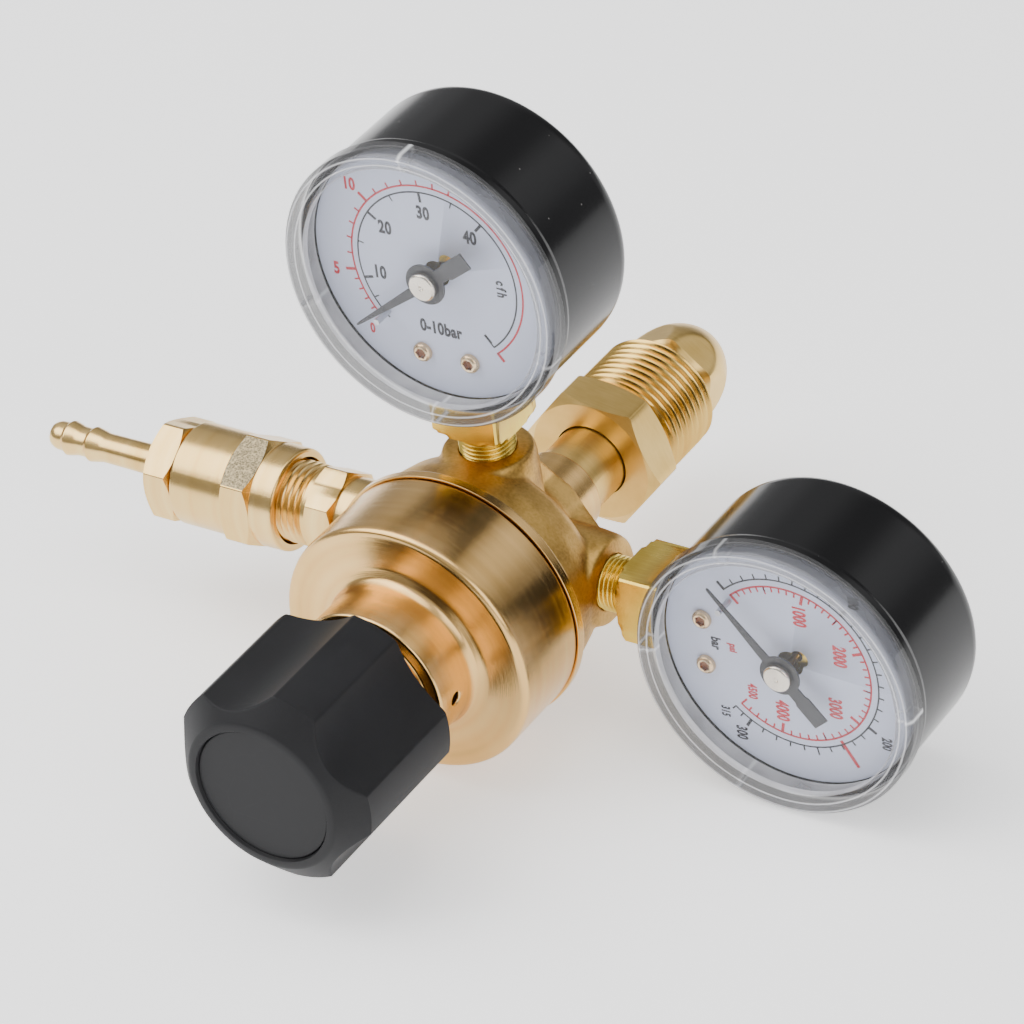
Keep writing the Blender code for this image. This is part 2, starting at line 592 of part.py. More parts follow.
def build_outlet(frame, brass, fibre):
    """The outlet nipple, the coupling on its thread, a washer, and the hose barb."""
    stub_end = BOSS_REACH + GAP + STUB_LENGTH
    hex_end = stub_end + OUTLET_HEX_LENGTH
    thread_end = hex_end + 0.8 + OUTLET_THREAD_LENGTH
    turned("outlet_nipple", frame, [
        (port_floor + 1, OUTLET_BORE), (port_floor + 1, PORT_THREAD_RADIUS),
        (BOSS_REACH + GAP, PORT_THREAD_RADIUS), (BOSS_REACH + GAP, STUB_RADIUS),
        (stub_end, STUB_RADIUS),
        *hexagon_stations(stub_end, hex_end, OUTLET_HEX, OUTLET_HEX_TURN),
        (hex_end, OUTLET_THREAD_RADIUS - 0.7), (hex_end + 0.8, OUTLET_THREAD_RADIUS - 0.7),
        (hex_end + 1.2, OUTLET_THREAD_RADIUS), (thread_end - 0.6, OUTLET_THREAD_RADIUS),
        (thread_end, OUTLET_THREAD_RADIUS - 0.7), (thread_end, OUTLET_BORE),
    ], brass, sides=HEX_SIDES, turn=OUTLET_HEX_TURN)
    washer_end = thread_end + GAP + WASHER_THICKNESS
    turned("outlet_washer", frame, [
        (thread_end + GAP, OUTLET_BORE + 0.3), (thread_end + GAP, OUTLET_THREAD_RADIUS - 0.2),
        (washer_end, OUTLET_THREAD_RADIUS - 0.2), (washer_end, OUTLET_BORE + 0.3),
    ], fibre, SMALL_SIDES)
    collar_end = COUPLING_START + COUPLING_COLLAR_LENGTH
    sleeve_start = collar_end + COUPLING_HEX_LENGTH
    coupling_end = sleeve_start + COUPLING_SLEEVE_LENGTH
    seat = washer_end + GAP
    thread_bore = OUTLET_THREAD_RADIUS + GAP
    spigot_floor = coupling_end - SPIGOT_LENGTH
    turned("outlet_coupling", frame, [
        (COUPLING_START, thread_bore), (COUPLING_START, thread_bore + 0.5),
        (COUPLING_START + 0.4, COUPLING_RADIUS - 0.5), (COUPLING_START + 1.2, COUPLING_RADIUS),
        (collar_end, COUPLING_RADIUS),
        *hexagon_stations(collar_end, sleeve_start, COUPLING_HEX, COUPLING_TURN),
        (sleeve_start, COUPLING_RADIUS), (coupling_end - 0.4, COUPLING_RADIUS),
        (coupling_end, COUPLING_RADIUS - 0.4), (coupling_end, SPIGOT_RADIUS + GAP),
        (spigot_floor, SPIGOT_RADIUS + GAP), (spigot_floor, OUTLET_BORE),
        (seat, OUTLET_BORE), (seat, thread_bore),
    ], brass, sides=HEX_SIDES, turn=COUPLING_TURN)
    barb_start = coupling_end + GAP
    shank = barb_start + BARB_HEX_LENGTH
    tip = shank + BARB_LENGTH
    tube = BARB_RADIUS - 0.25
    first_rib = tip - 9.2
    last_rib = tip - 3.8
    turned("hose_barb", frame, [
        (spigot_floor + GAP, BARB_BORE), (spigot_floor + GAP, SPIGOT_RADIUS),
        (barb_start, SPIGOT_RADIUS),
        *hexagon_stations(barb_start, shank, BARB_HEX, BARB_TURN),
        (shank, BARB_RADIUS + 1.0), (shank + 1.4, BARB_RADIUS + 0.2), (shank + 4.0, tube),
        (first_rib - 3.0, tube), (first_rib, RIB_RADIUS), (first_rib + 0.5, tube),
        (last_rib - 2.4, tube), (last_rib, RIB_RADIUS), (last_rib + 0.5, tube),
        (tip, tube - 0.6), (tip, BARB_BORE),
    ], brass, sides=HEX_SIDES, turn=BARB_TURN)


def build_case(name, stem, face, black, clear):
    """The drawn steel case with a square opening for the stem, and the lens in its mouth."""
    wall_radius = CASE_RADIUS - CASE_WALL
    case = turned(f"{name}_case", face, [
        (CASE_BACK, 0), (CASE_BACK, CASE_RADIUS - CASE_EDGE),
        (CASE_BACK - 0.25 * CASE_EDGE, CASE_RADIUS - 0.35 * CASE_EDGE),
        (CASE_BACK - CASE_EDGE, CASE_RADIUS), (CASE_FRONT, CASE_RADIUS),
        (CASE_FRONT, wall_radius), (CASE_BACK - CASE_EDGE, wall_radius),
        (CASE_BACK - CASE_WALL, wall_radius - CASE_EDGE + 0.4), (CASE_BACK - CASE_WALL, 0),
    ], black)
    slot = STEM_SQUARE / 2 + GAP
    square = [(-slot, -slot), (slot, -slot), (slot, slot), (-slot, slot)]
    opening = GAUGE_REACH - CASE_RADIUS
    cutter = extruded(f"{name}_case_opening", stem, square, opening - 2, opening + 6, None)
    combine(case, cutter, "DIFFERENCE")
    rim_back = CASE_FRONT - GAP
    window_back = LENS_FRONT + LENS_THICKNESS
    turned(f"{name}_lens", face, [
        (LENS_FRONT - 0.3, 0), (LENS_FRONT, lens_skirt * 0.6), (LENS_FRONT + 0.4, lens_skirt - 1.2),
        (LENS_FRONT + 0.2, lens_skirt - 0.2), (LENS_FRONT + 0.5, LENS_RADIUS - 0.7),
        (LENS_FRONT + 1.2, LENS_RADIUS), (rim_back, LENS_RADIUS), (rim_back, lens_skirt),
        (rim_back + LENS_SKIRT, lens_skirt), (rim_back + LENS_SKIRT, lens_skirt - 0.8),
        (window_back + 0.5, lens_skirt - 1.3), (window_back, lens_skirt * 0.6),
        (window_back - 0.3, 0),
    ], clear)


def build_dial(name, face, pointer_turn, second_hole, white, dark):
    """The printed plate with its holes, and the pin that the pointer rests on."""
    dial = turned(f"{name}_dial", face, [
        (DIAL_FRONT, DIAL_HOLE), (DIAL_FRONT, lens_skirt - 0.4), (dial_back, lens_skirt - 0.4),
        (dial_back, DIAL_HOLE),
    ], white)
    side_hole = face.moved(*second_hole)
    drill(dial, side_hole, DIAL_FRONT - 1, dial_back + 1, DIAL_HOLE * 0.7, 16)
    stop_turn = pointer_turn + math.asin((STOP_RADIUS + POINTER_HALF_WIDTH + GAP) / STOP_CIRCLE)
    stop = face.moved(STOP_CIRCLE * math.cos(stop_turn), STOP_CIRCLE * math.sin(stop_turn))
    turned(f"{name}_stop_pin", stop, [
        (POINTER_FRONT - 0.3, 0), (POINTER_FRONT - 0.3, STOP_RADIUS),
        (DIAL_FRONT - GAP, STOP_RADIUS), (DIAL_FRONT - GAP, 0),
    ], dark, 12)
    return dial


def build_socket(name, stem, face, dial, brass):
    """The square stem with its wider block, and the two screws that hold the dial to it."""
    block_top = SOCKET_HEIGHT + GAUGE_REACH - CASE_RADIUS + CASE_WALL + 1.6
    block_bottom = block_top - SOCKET_HEIGHT + 0.6
    depth = STEM_SQUARE / 2 - 0.6
    full = polygon(STEM_SQUARE, 4, math.radians(45.0))
    cut = polygon(STEM_SQUARE, 4, math.radians(45.0), STEM_RADIUS + 2.6)
    stem_start = BOSS_REACH + STEM_BARE_LENGTH
    socket = turned(f"{name}_socket", stem, [
        (port_floor + 1.5, PASSAGE_RADIUS), (port_floor + 1.5, STEM_RADIUS - 0.4),
        (stem_start, STEM_RADIUS), (stem_start, STEM_RADIUS + 0.6), (stem_start + 0.9, cut),
        (stem_start + 1.9, full), (block_bottom + 1, full), (block_bottom + 1, PASSAGE_RADIUS),
    ], brass, sides=24)
    width = SOCKET_WIDTH / 2
    block_frame = Frame(stem.origin, face.right, stem.along, face.along)
    block = extruded(f"{name}_socket_block", block_frame, [
        (-width, block_bottom), (width, block_bottom), (width, block_top), (-width, block_top),
    ], -depth, depth, None)
    combine(socket, block, "UNION")
    for side, turn in (("left", -1), ("right", 1)):
        angle = -math.pi / 2 + turn * DIAL_SCREW_ANGLE
        place = face.moved(DIAL_SCREW_CIRCLE * math.cos(angle), DIAL_SCREW_CIRCLE * math.sin(angle))
        drill(socket, place, -depth - 1, -depth + 4.0, DIAL_SCREW_SHANK + GAP, 12)
        drill(dial, place, DIAL_FRONT - 1, dial_back + 1, DIAL_SCREW_SHANK + GAP, 12)
        head_back = DIAL_FRONT - GAP
        turned(f"{name}_dial_screw_{side}", place, [
            (head_back - 0.9, 0), (head_back - 0.9, DIAL_SCREW_HEAD - 0.4),
            (head_back - 0.5, DIAL_SCREW_HEAD), (head_back, DIAL_SCREW_HEAD),
            (head_back, DIAL_SCREW_SHANK), (-depth + 3.6, DIAL_SCREW_SHANK), (-depth + 3.6, 0),
        ], brass, 16)


def build_movement(name, face, brass):
    """The frame, the pinion on the pointer's arbor, the sector, its link and the Bourdon tube."""
    sector_reach = PINION_RADIUS + MESH_GAP + PINION_RADIUS * (GEAR_RATIO - 0.2)
    sector_frame = face.moved(0, -sector_reach)
    frame_bottom = -sector_reach - 1.9
    frame_top = 4.6
    inner_back = FRAME_BACK - FRAME_PLATE
    inner_front = FRAME_FRONT + FRAME_PLATE
    side_view = Frame(face.origin, face.up, face.along, face.right)
    movement = extruded(f"{name}_movement_frame", side_view, [
        (frame_bottom, FRAME_FRONT), (frame_top, FRAME_FRONT), (frame_top, FRAME_BACK),
        (frame_bottom, FRAME_BACK), (frame_bottom, inner_back),
        (frame_top - FRAME_PLATE, inner_back), (frame_top - FRAME_PLATE, inner_front),
        (frame_bottom, inner_front),
    ], -FRAME_HALF_WIDTH, FRAME_HALF_WIDTH, brass)
    for axis in (face, sector_frame):
        drill(movement, axis, FRAME_FRONT - 1, FRAME_BACK + 1, ARBOR_RADIUS + GAP, 16)

    arbor_front = POINTER_FRONT + POINTER_THICKNESS + GAP
    sector_back = SECTOR_LEVEL + SECTOR_THICKNESS
    gear = polygon(PINION_RADIUS * 2 - 0.3, PINION_TEETH, 0)
    turned(f"{name}_pinion", face, [
        (arbor_front, 0), (arbor_front, ARBOR_RADIUS), (SECTOR_LEVEL - 0.4, ARBOR_RADIUS),
        (SECTOR_LEVEL - 0.4, gear), (sector_back + 0.4, gear), (sector_back + 0.4, ARBOR_RADIUS),
        (FRAME_BACK + 0.3, ARBOR_RADIUS), (FRAME_BACK + 0.3, 0),
    ], brass, PINION_TEETH * 2)

    tip_radius = sector_reach - PINION_RADIUS - MESH_GAP
    pitch = math.tau / (PINION_TEETH * GEAR_RATIO)
    outline = []
    for step in range(2 * SECTOR_TEETH - 1):
        depth = TOOTH_DEPTH if step % 2 else 0.0
        outline.append((tip_radius - depth, SECTOR_TOP - pitch / 2 * step))
    for degrees in (280, 240, 200, 160):
        outline.append((SECTOR_HUB, SECTOR_TOP + math.radians(degrees)))
    outline.append((SECTOR_HUB, SECTOR_TOP + math.radians(120.0)))
    outline.append((SECTOR_TAIL, SECTOR_TAIL_TURN))
    outline.append((SECTOR_HUB, SECTOR_TOP + math.radians(8.0)))
    places = [(reach * math.cos(angle), reach * math.sin(angle)) for reach, angle in outline]
    sector = extruded(f"{name}_sector", sector_frame, places, SECTOR_LEVEL, sector_back, brass)
    arbor = turned(f"{name}_sector_arbor", sector_frame, [
        (FRAME_FRONT + 0.1, 0), (FRAME_FRONT + 0.1, ARBOR_RADIUS),
        (FRAME_BACK - 0.1, ARBOR_RADIUS), (FRAME_BACK - 0.1, 0),
    ], None, 16)
    combine(sector, arbor, "UNION")

    pin = SECTOR_TAIL * 0.8
    tail = sector_frame.moved(pin * math.cos(SECTOR_TAIL_TURN), pin * math.sin(SECTOR_TAIL_TURN))
    extruded(f"{name}_link", tail, [
        (0.8, -0.8), (0.8, 0.8), (-LINK_LENGTH, 1.0), (-LINK_LENGTH, -0.6),
    ], sector_back + GAP, sector_back + GAP + 0.5, brass)

    root = -math.acos((SOCKET_WIDTH / 2 + GAP) / (TUBE_RADIUS - TUBE_HALF_THICKNESS))
    route = [(root + TUBE_SWEEP * step / 20, TUBE_RADIUS, 0.0) for step in range(21)]
    swept(f"{name}_bourdon_tube", face, route, TUBE_HALF_THICKNESS, TUBE_HALF_DEPTH, brass)


def build_pointer(name, face, pointer_turn, dark, silver):
    """The pointer, with a wide tail that balances it, and the cap pressed over its hub."""
    direction = Vector((math.cos(pointer_turn), math.sin(pointer_turn)))
    across = Vector((-direction.y, direction.x))
    upper = [(POINTER_LENGTH, 0.15), (POINTER_HUB * 0.9, 0.75)]
    for degrees in range(20, 170, 20):
        angle = math.radians(degrees)
        upper.append((POINTER_HUB * math.cos(angle), POINTER_HUB * math.sin(angle)))
    tail_half = POINTER_TAIL_WIDTH / 2
    upper += [(-POINTER_HUB * 0.95, 0.9), (-POINTER_HUB * 1.5, 0.9),
              (-POINTER_HUB * 1.5, tail_half), (-POINTER_TAIL, tail_half)]
    both = upper + [(reach, -side) for reach, side in reversed(upper)]
    outline = [direction * reach + across * side for reach, side in both]
    pointer_back = POINTER_FRONT + POINTER_THICKNESS
    extruded(f"{name}_pointer", face, outline, POINTER_FRONT, pointer_back, dark)
    turned(f"{name}_pointer_cap", face, [
        (POINTER_FRONT - 1.4, 0), (POINTER_FRONT - 1.4, POINTER_CAP - 0.4),
        (POINTER_FRONT - 1.0, POINTER_CAP), (POINTER_FRONT - GAP, POINTER_CAP),
        (POINTER_FRONT - GAP, 0),
    ], silver, SMALL_SIDES)


def build_gauge(name, stem, face, pointer_turn, second_hole):
    """One gauge. The stem frame runs out from the main axis; the face frame looks along Y."""
    build_case(name, stem, face, black_paint, clear_plastic)
    dial = build_dial(name, face, pointer_turn, second_hole, dial_white, pointer_black)
    build_socket(name, stem, face, dial, yellow_brass)
    build_movement(name, face, yellow_brass)
    build_pointer(name, face, pointer_turn, pointer_black, steel)


clear_scene()
cast_brass = finish("cast_brass", (0.62, 0.44, 0.18), 0.42, 1.0)
turned_brass = finish("turned_brass", (0.78, 0.58, 0.34), 0.3, 1.0)
yellow_brass = finish("yellow_brass", (0.85, 0.66, 0.22), 0.28, 1.0)
steel = finish("steel", (0.62, 0.62, 0.63), 0.35, 1.0)
bronze = finish("sintered_bronze", (0.55, 0.36, 0.2), 0.7, 1.0)
rubber = finish("rubber", (0.03, 0.03, 0.03), 0.8, 0.0)
nylon = finish("nylon", (0.85, 0.83, 0.76), 0.5, 0.0)
black_plastic = finish("black_plastic", (0.02, 0.02, 0.022), 0.45, 0.0)
black_paint = finish("black_paint", (0.005, 0.005, 0.006), 0.12, 0.0)
clear_plastic = finish("clear_plastic", (0.9, 0.93, 0.95), 0.05, 0.0)
dial_white = finish("dial_white", (0.86, 0.87, 0.93), 0.4, 0.0)
pointer_black = finish("pointer_black", (0.02, 0.02, 0.03), 0.4, 0.0)

main_axis = Frame((0, 0, 0), (1, 0, 0), (0, 0, 1), (0, 1, 0))
delivery_stem = Frame((0, port_plane, 0), (1, 0, 0), (0, 1, 0), (0, 0, 1))
cylinder_stem = Frame((0, port_plane, 0), (0, 0, -1), (0, 1, 0), (1, 0, 0))
outlet_axis = Frame((0, outlet_plane, 0), (0, 1, 0), (0, 0, 1), (-1, 0, 0))
delivery_face = Frame((0, port_plane, GAUGE_REACH), (1, 0, 0), (0, 0, 1), (0, 1, 0))
cylinder_face = Frame((GAUGE_REACH, port_plane, 0), (0, 0, -1), (1, 0, 0), (0, 1, 0))

ports = {"delivery": delivery_stem, "cylinder": cylinder_stem, "outlet": outlet_axis}
build_body(main_axis, ports, cast_brass)
build_bonnet(main_axis, turned_brass, steel, rubber)
build_knob(main_axis, black_plastic, steel)
build_valve(main_axis, turned_brass, steel, nylon)
build_inlet(main_axis, turned_brass, bronze)
build_outlet(outlet_axis, turned_brass, rubber)
build_gauge("delivery_gauge", delivery_stem, delivery_face, DELIVERY_REST, DELIVERY_HOLE)
build_gauge("cylinder_gauge", cylinder_stem, cylinder_face, CYLINDER_REST, CYLINDER_HOLE)
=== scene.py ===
import math

import bmesh
import bpy
from mathutils import Matrix, Vector


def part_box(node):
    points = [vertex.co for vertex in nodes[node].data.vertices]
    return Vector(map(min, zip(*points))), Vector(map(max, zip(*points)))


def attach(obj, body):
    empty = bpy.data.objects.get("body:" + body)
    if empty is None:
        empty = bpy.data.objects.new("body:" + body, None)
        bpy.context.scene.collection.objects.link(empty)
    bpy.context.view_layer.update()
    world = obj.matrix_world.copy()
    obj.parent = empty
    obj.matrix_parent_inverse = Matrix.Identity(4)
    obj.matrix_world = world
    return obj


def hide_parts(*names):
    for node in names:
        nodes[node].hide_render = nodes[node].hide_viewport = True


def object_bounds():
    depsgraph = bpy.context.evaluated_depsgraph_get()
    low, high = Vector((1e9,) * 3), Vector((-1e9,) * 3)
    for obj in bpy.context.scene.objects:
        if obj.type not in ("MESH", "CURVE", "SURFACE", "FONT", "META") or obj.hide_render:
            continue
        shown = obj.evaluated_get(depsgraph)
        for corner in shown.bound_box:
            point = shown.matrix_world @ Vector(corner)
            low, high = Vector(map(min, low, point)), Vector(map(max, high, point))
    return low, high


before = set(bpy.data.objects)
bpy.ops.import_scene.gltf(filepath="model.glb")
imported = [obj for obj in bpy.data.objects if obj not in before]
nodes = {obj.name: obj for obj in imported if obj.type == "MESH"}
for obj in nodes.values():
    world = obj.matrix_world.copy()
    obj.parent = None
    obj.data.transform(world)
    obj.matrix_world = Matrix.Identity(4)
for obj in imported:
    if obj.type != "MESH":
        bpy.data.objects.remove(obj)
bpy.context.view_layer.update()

scene = bpy.context.scene


# ---- The table it lies on, the lights and the camera.
# A pale matt table top just under the lowest piece, three large soft boxes, dark flags behind
# that band the brass, and a long-lens camera that looks down on the knob and the two dials.
MM = 0.001
TABLE_GAP = 0.5 * MM
TABLE_SIZE = 6.0
FLAG_EDGE = 3.0                 # how sharply the dark flags begin behind the object


class Sheet:
    """A node tree that is written as expressions."""

    def __init__(self, tree):
        self.tree = tree

    def node(self, kind, settings=None, values=None, out=0):
        """Add a node, set it, then fill or link its sockets. Gives one output."""
        made = self.tree.nodes.new(kind)
        for name, value in (settings or {}).items():
            if name == "stops":
                ramp = made.color_ramp.elements
                while len(ramp) < len(value):
                    ramp.new(0.5)
                for stop, (place, colour) in zip(ramp, value):
                    stop.position = place
                    stop.color = (*colour, 1.0)
            else:
                setattr(made, name, value)
        for name, value in (values or {}).items():
            if isinstance(value, Wire):
                self.tree.links.new(value.socket, made.inputs[name])
            elif value is not None:
                made.inputs[name].default_value = value
        return Wire(self, made.outputs[out], made)


class Wire:
    """One output in a node tree. Arithmetic on it adds Math nodes."""

    def __init__(self, sheet, socket, node=None):
        self.sheet = sheet
        self.socket = socket
        self.made = node

    def math(self, operation, *others, clamp=False):
        values = dict(enumerate([self, *others]))
        return self.sheet.node("ShaderNodeMath", {"operation": operation, "use_clamp": clamp}, values)

    def flipped(self, operation, other):
        return self.sheet.node("ShaderNodeMath", {"operation": operation}, {0: other, 1: self})

    def out(self, name):
        return Wire(self.sheet, self.made.outputs[name], self.made)

    def __add__(self, other):
        return self.math("ADD", other)

    def __sub__(self, other):
        return self.math("SUBTRACT", other)

    def __mul__(self, other):
        return self.math("MULTIPLY", other)

    def __truediv__(self, other):
        return self.math("DIVIDE", other)

    def __rsub__(self, other):
        return self.flipped("SUBTRACT", other)

    def __rtruediv__(self, other):
        return self.flipped("DIVIDE", other)

    __radd__ = __add__
    __rmul__ = __mul__


def new_material(name, roughness=0.4, metallic=0.0, **constants):
    """A Principled material; gives its sheet and a way to set the shader's sockets."""
    material = bpy.data.materials.new(name)
    material.use_nodes = True
    sheet = Sheet(material.node_tree)
    shader = material.node_tree.nodes["Principled BSDF"]
    sockets = {"Roughness": roughness, "Metallic": metallic, **constants}
    for socket, value in sockets.items():
        shader.inputs[socket].default_value = value

    def feed(socket, wire):
        if isinstance(wire, Wire):
            material.node_tree.links.new(wire.socket, shader.inputs[socket])
        else:
            shader.inputs[socket].default_value = wire

    return material, sheet, feed


low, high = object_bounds()
table_level = low[2] - TABLE_GAP
bpy.ops.mesh.primitive_plane_add(size=TABLE_SIZE, location=(0, 0, table_level))
table = bpy.context.object
table.name = "table_top"
paper, sheet, feed = new_material("table_paper", roughness=0.75, **{
    "Emission Color": (1.0, 1.0, 1.0, 1.0), "Emission Strength": 0.75})
where = sheet.node("ShaderNodeTexCoord").out("Object")
fibre = sheet.node("ShaderNodeTexNoise", {}, {"Vector": where, "Scale": 900.0, "Detail": 3.0})
feed("Base Color", (0.95, 0.95, 0.955, 1.0))
feed("Normal", sheet.node("ShaderNodeBump", {}, {"Strength": 0.05, "Distance": 0.0002, "Height": fibre}))
table.data.materials.append(paper)

world = bpy.data.worlds.new("studio")
world.use_nodes = True
scene.world = world
sheet = Sheet(world.node_tree)
direction = sheet.node("ShaderNodeTexCoord").out("Generated")
apart = sheet.node("ShaderNodeSeparateXYZ", {}, {0: direction})
walls = sheet.node("ShaderNodeValToRGB", {"stops": [
    (0.0, (0.60, 0.60, 0.60)), (0.5, (0.50, 0.50, 0.51)), (0.62, (0.45, 0.45, 0.46)),
    (0.80, (0.85, 0.85, 0.86)), (1.0, (1.10, 1.10, 1.10)),
]}, {0: apart.out("Z") * 0.5 + 0.5})
flags = sheet.node("ShaderNodeValToRGB", {"stops": [
    (place, (level, level, level)) for place, level in (
        (0.12, 1.25), (0.19, 1.15), (0.25, 0.75), (0.37, 0.80), (0.49, 0.34), (0.61, 0.42),
        (0.71, 1.50), (0.81, 1.60), (0.865, 0.40), (0.98, 0.32))
]}, {0: apart.out("X") * 0.5 + 0.5})
behind = apart.out("Y").math("MULTIPLY", FLAG_EDGE, clamp=True)
flags = sheet.node("ShaderNodeMix", {"data_type": "RGBA"}, {
    0: behind, 6: (1.0, 1.0, 1.0, 1.0), 7: flags}, out=2)
surround = sheet.node("ShaderNodeMix", {"data_type": "RGBA", "blend_type": "MULTIPLY"}, {
    0: 1.0, 6: walls, 7: flags}, out=2)
background = world.node_tree.nodes["Background"]
world.node_tree.links.new(surround.socket, background.inputs["Color"])
background.inputs["Strength"].default_value = 0.8


def soft_box(name, place, target, size, power):
    light = bpy.data.lights.new(name, "AREA")
    light.shape = "RECTANGLE"
    light.size, light.size_y = size
    light.energy = power
    lamp = bpy.data.objects.new(name, light)
    lamp.location = place
    lamp.rotation_euler = (Vector(target) - Vector(place)).to_track_quat("-Z", "Y").to_euler()
    scene.collection.objects.link(lamp)


middle = ((low[0] + high[0]) / 2, (low[1] + high[1]) / 2, 0.0)
soft_box("key_box", (-0.55, -0.35, 0.75), middle, (0.8, 0.8), 7.5)
soft_box("fill_box", (0.75, -0.55, 0.45), middle, (0.7, 0.7), 3.5)
soft_box("top_box", (0.0, -0.05, 0.95), middle, (0.7, 0.7), 4.0)

camera_data = bpy.data.cameras.new("camera")
camera_data.lens = 174.3
camera_data.sensor_width = 36.0
camera_data.clip_end = 20.0
camera = bpy.data.objects.new("camera", camera_data)
camera_right = Vector((0.8468, 0.5220, -0.1024))
camera_down = Vector((0.2267, -0.5283, -0.8182))
camera_look = camera_right.cross(camera_down)
turn = Matrix((camera_right, -camera_down, -camera_look)).transposed().to_4x4()
camera.matrix_world = Matrix.Translation((0.4383, -0.6458, 0.5211)) @ turn
scene.collection.objects.link(camera)
scene.camera = camera


# ---- Forged body: brass forging, tumbled, then turned on its flange and its inlet boss.
# The forging is one soft-edged mass: a drum, three port bosses and the ribs between them.
CAST_GRAIN = 1800.0
BODY_SIDES = 160


class Axis:
    """A turned piece's own directions: right and up across it, and along it. In millimetres."""

    def __init__(self, origin, right, up, along):
        self.origin = Vector(origin)
        self.right = Vector(right)
        self.up = Vector(up)
        self.along = Vector(along)

    def at(self, right, up, along):
        place = self.origin + self.right * right + self.up * up + self.along * along
        return place * MM

    def moved(self, right, up, along=0.0):
        return Axis(self.at(right, up, along) / MM, self.right, self.up, self.along)


def eased(profile, steps=4):
    """Round the corners of a profile of (along, radius) or (along, radius, rounding)."""
    points = []
    last = len(profile) - 1
    for index, point in enumerate(profile):
        here = Vector(point[:2])
        rounding = point[2] if len(point) > 2 else 0.0
        if not rounding or index in (0, last):
            points.append(tuple(here))
            continue
        before = Vector(profile[index - 1][:2]) - here
        after = Vector(profile[index + 1][:2]) - here
        reach = min(rounding, before.length * 0.48, after.length * 0.48)
        start = before.normalized() * reach
        stop = after.normalized() * reach
        for step in range(steps + 1):
            share = step / steps
            bend = start * (1 - share) ** 2 + stop * share ** 2
            points.append(tuple(here + bend))
    return points


def span(shape, near, far):
    """Faces between two rings, either of which may be one point on the axis."""
    count = max(len(near), len(far))
    for step in range(count):
        after = (step + 1) % count
        corners = [near[step % len(near)], near[after % len(near)]]
        corners += [far[after % len(far)], far[step % len(far)]]
        corners = list(dict.fromkeys(corners))
        if len(corners) > 2:
            shape.faces.new(corners)


def piece_of(name, shape, material, sharp=32.0):
    """A finished mesh object from a bmesh, faces outwards, shaded smooth up to an angle."""
    bmesh.ops.recalc_face_normals(shape, faces=shape.faces)
    mesh = bpy.data.meshes.new(name)
    shape.to_mesh(mesh)
    shape.free()
    mesh.shade_smooth()
    mesh.set_sharp_from_angle(angle=math.radians(sharp))
    if material:
        mesh.materials.append(material)
    made = bpy.data.objects.new(name, mesh)
    scene.collection.objects.link(made)
    made.modifiers.new("even_shading", "WEIGHTED_NORMAL").keep_sharp = True
    return made


def lathe(name, axis, profile, material, angles=BODY_SIDES, sharp=32.0):
    """Turn a profile round an axis. A station may be a function of the angle instead."""
    if isinstance(angles, int):
        angles = [math.tau * step / angles for step in range(angles)]
    shape = bmesh.new()
    rings = []
    for station in profile:
        if not callable(station) and station[1] <= 0:
            rings.append([shape.verts.new(axis.at(0, 0, station[0]))])
            continue
        ring = []
        for angle in angles:
            along, reach = station(angle) if callable(station) else station
            reach = reach(angle) if callable(reach) else reach
            ring.append(shape.verts.new(axis.at(reach * math.cos(angle), reach * math.sin(angle), along)))
        rings.append(ring)
    if len(rings[0]) > 1:
        rings.append(rings[0])
    for near, far in zip(rings, rings[1:]):
        span(shape, near, far)
    return piece_of(name, shape, material, sharp)


def slab(name, axis, outline, start, stop, material, sharp=32.0):
    """A flat plate cut to an outline of (right, up) points."""
    shape = bmesh.new()
    near = [shape.verts.new(axis.at(x, y, start)) for x, y in outline]
    far = [shape.verts.new(axis.at(x, y, stop)) for x, y in outline]
    shape.faces.new(near)
    shape.faces.new(far[::-1])
    span(shape, near, far)
    return piece_of(name, shape, material, sharp)


def merged(piece, others, operation="UNION"):
    """Join other shapes to a piece, or cut them away, for good."""
    for other in others:
        cut = piece.modifiers.new(other.name, "BOOLEAN")
        cut.operation = operation
        cut.solver = "EXACT"
        cut.object = other
    return settled(piece, others)


def settled(piece, spent=()):
    """Turn what the modifiers make into the piece's own plain mesh."""
    graph = bpy.context.evaluated_depsgraph_get()
    mesh = bpy.data.meshes.new_from_object(piece.evaluated_get(graph))
    piece.modifiers.clear()
    piece.data = mesh
    for other in spent:
        bpy.data.objects.remove(other, do_unlink=True)
    return piece


def cast_brass():
    """Tumbled forging: yellow-brown, finely pitted, darker in its hollows."""
    material, sheet, feed = new_material("cast_brass", metallic=1.0)
    where = sheet.node("ShaderNodeTexCoord").out("Object")
    cloud = sheet.node("ShaderNodeTexNoise", {}, {"Vector": where, "Scale": 95.0, "Detail": 4.0})
    pits = sheet.node("ShaderNodeTexNoise", {}, {"Vector": where, "Scale": CAST_GRAIN, "Detail": 3.0})
    dents = sheet.node("ShaderNodeTexVoronoi", {}, {"Vector": where, "Scale": 420.0})
    mixed = cloud * 0.75 + pits * 0.25
    colour = sheet.node("ShaderNodeValToRGB", {"stops": [
        (0.30, (0.20, 0.10, 0.025)), (0.46, (0.54, 0.32, 0.08)), (0.66, (0.80, 0.515, 0.16)),
    ]}, {0: mixed})
    feed("Base Color", colour)
    feed("Roughness", 0.30 + cloud * 0.20 + pits * 0.10)
    relief = pits * 0.5 + dents * 0.35 + cloud * 0.6
    feed("Normal", sheet.node("ShaderNodeBump", {}, {
        "Strength": 0.35, "Distance": 0.00025, "Height": relief}))
    return material


